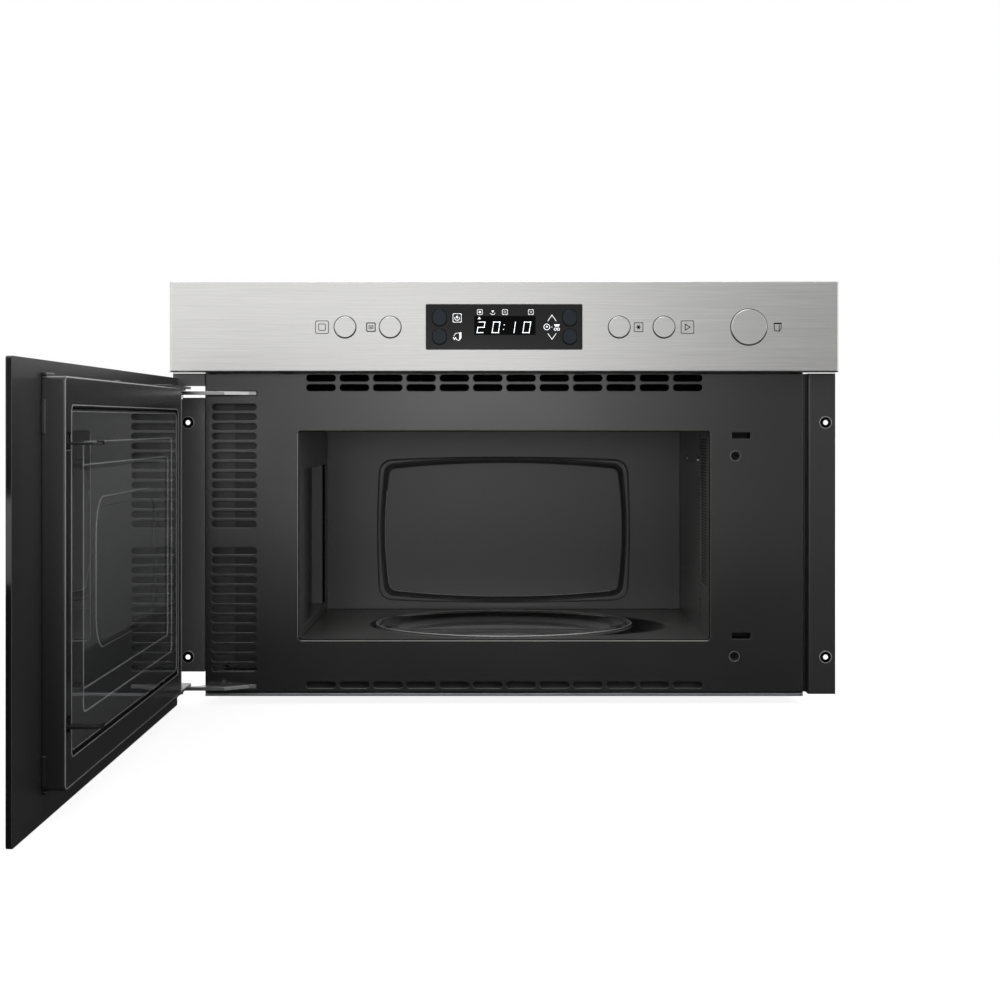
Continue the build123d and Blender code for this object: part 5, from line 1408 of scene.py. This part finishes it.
@dataclass(frozen=True)
class Card:
    """A bright or dark panel, off camera, that shapes what the surfaces reflect."""

    name: str
    centre: Point
    turn: Point
    size: Flat
    across: Stops = ((0.0, 1.0), (1.0, 1.0))
    up: Stops = ((0.0, 1.0), (1.0, 1.0))
    strength: float = 1.0

    def ramp(self, sheet: Sheet, along: Socket, length: float, stops: Stops) -> Socket:
        """A level that runs through its stops.

        Args:
            sheet: The card's nodes.
            along: Place along the card, in metres from its middle.
            length: The card's length that way.
            stops: Share of the length, and level there.

        Returns:
            The level's socket.
        """
        node = sheet.add("ValToRGB", {"Fac": sheet.spread(along, -length / 2, length / 2, 0.0, 1.0)})
        points = node.color_ramp.elements
        while len(points) < len(stops):
            points.new(0.5)
        for point, (place, level) in zip(points, stops):
            point.position = place
            point.color = (level, level, level, 1.0)
        return node.outputs["Color"]

    def build(self) -> None:
        """Make the card, seen only in reflections and through glass."""
        card, sheet = panel(self.name, *self.size)
        card.location = self.centre
        card.rotation_euler = tuple(math.radians(a) for a in self.turn)
        parts = sheet.axes()
        side = self.ramp(sheet, parts["X"], self.size[0], self.across)
        rise = self.ramp(sheet, parts["Y"], self.size[1], self.up)
        early = sheet.math("LESS_THAN", sheet.add("LightPath").outputs["Diffuse Depth"], 0.5)
        glow = sheet.add("Emission", {"Color": sheet.math("MULTIPLY", side, rise),
                                      "Strength": sheet.math("MULTIPLY", early, self.strength)})
        sheet.plug(glow.outputs[0], sheet.tree.nodes["Material Output"].inputs["Surface"])
        for ray in ("camera", "diffuse", "shadow", "volume_scatter"):
            setattr(card, "visible_" + ray, False)


@dataclass(frozen=True)
class Lamp:
    """A soft rectangular light."""

    name: str
    place: Point
    aim: Point
    size: Flat
    power: float

    def build(self) -> None:
        """Make the light and turn it to its aim."""
        data = bpy.data.lights.new(self.name, "AREA")
        data.shape = "RECTANGLE"
        data.size, data.size_y = self.size
        data.energy = self.power
        light = link(bpy.data.objects.new(self.name, data))
        light.location = self.place
        light.rotation_euler = (Vector(self.aim) - Vector(self.place)).to_track_quat("-Z", "Y").to_euler()
        light.visible_glossy = False
        light.visible_transmission = False


@dataclass(frozen=True)
class Studio:
    """Camera, white floor, world and lights."""

    eye: Point = (-0.0037, -1.9085, 0.2475)
    lens: float = 70.36
    shift_y: float = -0.0777
    floor_z: float = -0.0068
    floor_size: float = 60.0
    shadow_share: float = 0.30

    def camera(self) -> None:
        """Level camera in front of the oven."""
        data = bpy.data.cameras.new("camera")
        data.lens = self.lens
        data.sensor_width = 36.0
        data.shift_y = self.shift_y
        data.clip_start = 0.05
        camera = link(bpy.data.objects.new("camera", data))
        camera.location = self.eye
        camera.rotation_euler = (math.pi / 2, 0.0, 0.0)
        bpy.context.scene.camera = camera

    def floor(self) -> None:
        """White floor that keeps the oven's shadow."""
        floor, sheet = panel("floor", self.floor_size, self.floor_size)
        floor.location = (0.0, 0.0, self.floor_z)
        plain = sheet.tree.nodes["Principled BSDF"]
        sheet.fill(plain.inputs, {"Base Color": (0.80, 0.80, 0.80), "Roughness": 0.9, "Specular IOR Level": 0.0})
        shade = sheet.add("BsdfDiffuse", {"Color": (self.shadow_share, self.shadow_share, self.shadow_share)})
        white = sheet.add("Emission", {"Strength": 1.0 - self.shadow_share * 0.35})
        bright = sheet.add("AddShader", {0: shade.outputs[0], 1: white.outputs[0]})
        sheet.blend(sheet.seen_directly(), plain, bright)

    def world(self) -> None:
        """White where the camera, a reflection or glass sees it, plain grey for lighting."""
        world = bpy.data.worlds.new("studio")
        bpy.context.scene.world = world
        world.use_nodes = True
        sheet = Sheet(world.node_tree)
        grey = world.node_tree.nodes["Background"]
        sheet.fill(grey.inputs, {"Color": (0.9, 0.9, 0.9), "Strength": 0.55})
        white = sheet.add("Background", {"Color": (1.0, 1.0, 1.0), "Strength": 1.0})
        sheet.blend(sheet.seen_directly(), grey, white, "World Output")

    def cards(self) -> tuple[Card, ...]:
        """Panels that the steel and the black paint reflect."""
        sides = ((0.0, 1.66), (0.40, 1.62), (0.443, 1.49), (0.471, 1.34), (0.50, 1.21), (0.529, 1.09),
                 (0.543, 0.97), (0.56, 0.74), (0.587, 0.55), (0.60, 0.49), (1.0, 0.45))
        rise = ((0.0, 0.9), (0.05, 1.15), (0.10, 1.3), (0.15, 1.85), (0.19, 1.5), (0.26, 0.95),
                (0.45, 0.72), (1.0, 0.72))
        spot = ((0.0, 0.0), (0.22, 0.16), (0.5, 1.0), (0.78, 0.16), (1.0, 0.0))
        fade = ((0.0, 0.2), (0.35, 1.0), (1.0, 1.0))
        flag_z = self.floor_z + 0.0001
        return (Card("front_card", (0.0, -2.6, 1.1), (90.0, 0.0, 0.0), (7.0, 2.2), sides, rise),
                Card("top_glow", (-0.05, -2.0, 0.275), (90.0, 0.0, 0.0), (1.5, 0.24), spot, fade, 3.0),
                Card("floor_flag", (0.0, -1.2, flag_z), (0.0, 0.0, 0.0), (4.0, 2.9), strength=0.035),
                Card("overhead", (-0.3, -0.6, 1.9), (0.0, 0.0, 0.0), (1.2, 1.0), strength=5.0),
                Card("right_card", (2.3, -1.3, 0.9), (90.0, 0.0, 90.0), (1.6, 2.4), strength=2.0))

    def lamps(self) -> tuple[Lamp, ...]:
        """A broad key from above and in front, a fill from the right and a lamp behind."""
        return (Lamp("key", (-1.1, -2.3, 2.2), (0.0, -0.1, 0.15), (1.8, 1.4), 46.0),
                Lamp("fill", (1.8, -1.6, 1.3), (0.0, 0.0, 0.15), (1.2, 1.6), 12.0),
                Lamp("rear", (0.4, 1.9, 2.0), (0.0, 0.0, 0.2), (1.6, 1.2), 22.0))

    def build(self) -> None:
        """Make the whole studio."""
        self.camera()
        self.floor()
        self.world()
        for thing in self.cards() + self.lamps():
            thing.build()
        bpy.context.scene.view_settings.view_transform = "Standard"
        bpy.context.scene.view_settings.look = "None"


def main() -> None:
    """Dress the oven, add its pieces, and set the studio up."""
    logging.basicConfig(level=logging.INFO, format="%(message)s")
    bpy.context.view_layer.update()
    for finish, nodes in CAD_FINISHES.items():
        finish.dress(*(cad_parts[node] for node in nodes.split()))
    for part in (Casing(), ControlPanel(), Cavity(), Door(), Studio()):
        part.build()


if __name__ == "__main__":
    main()
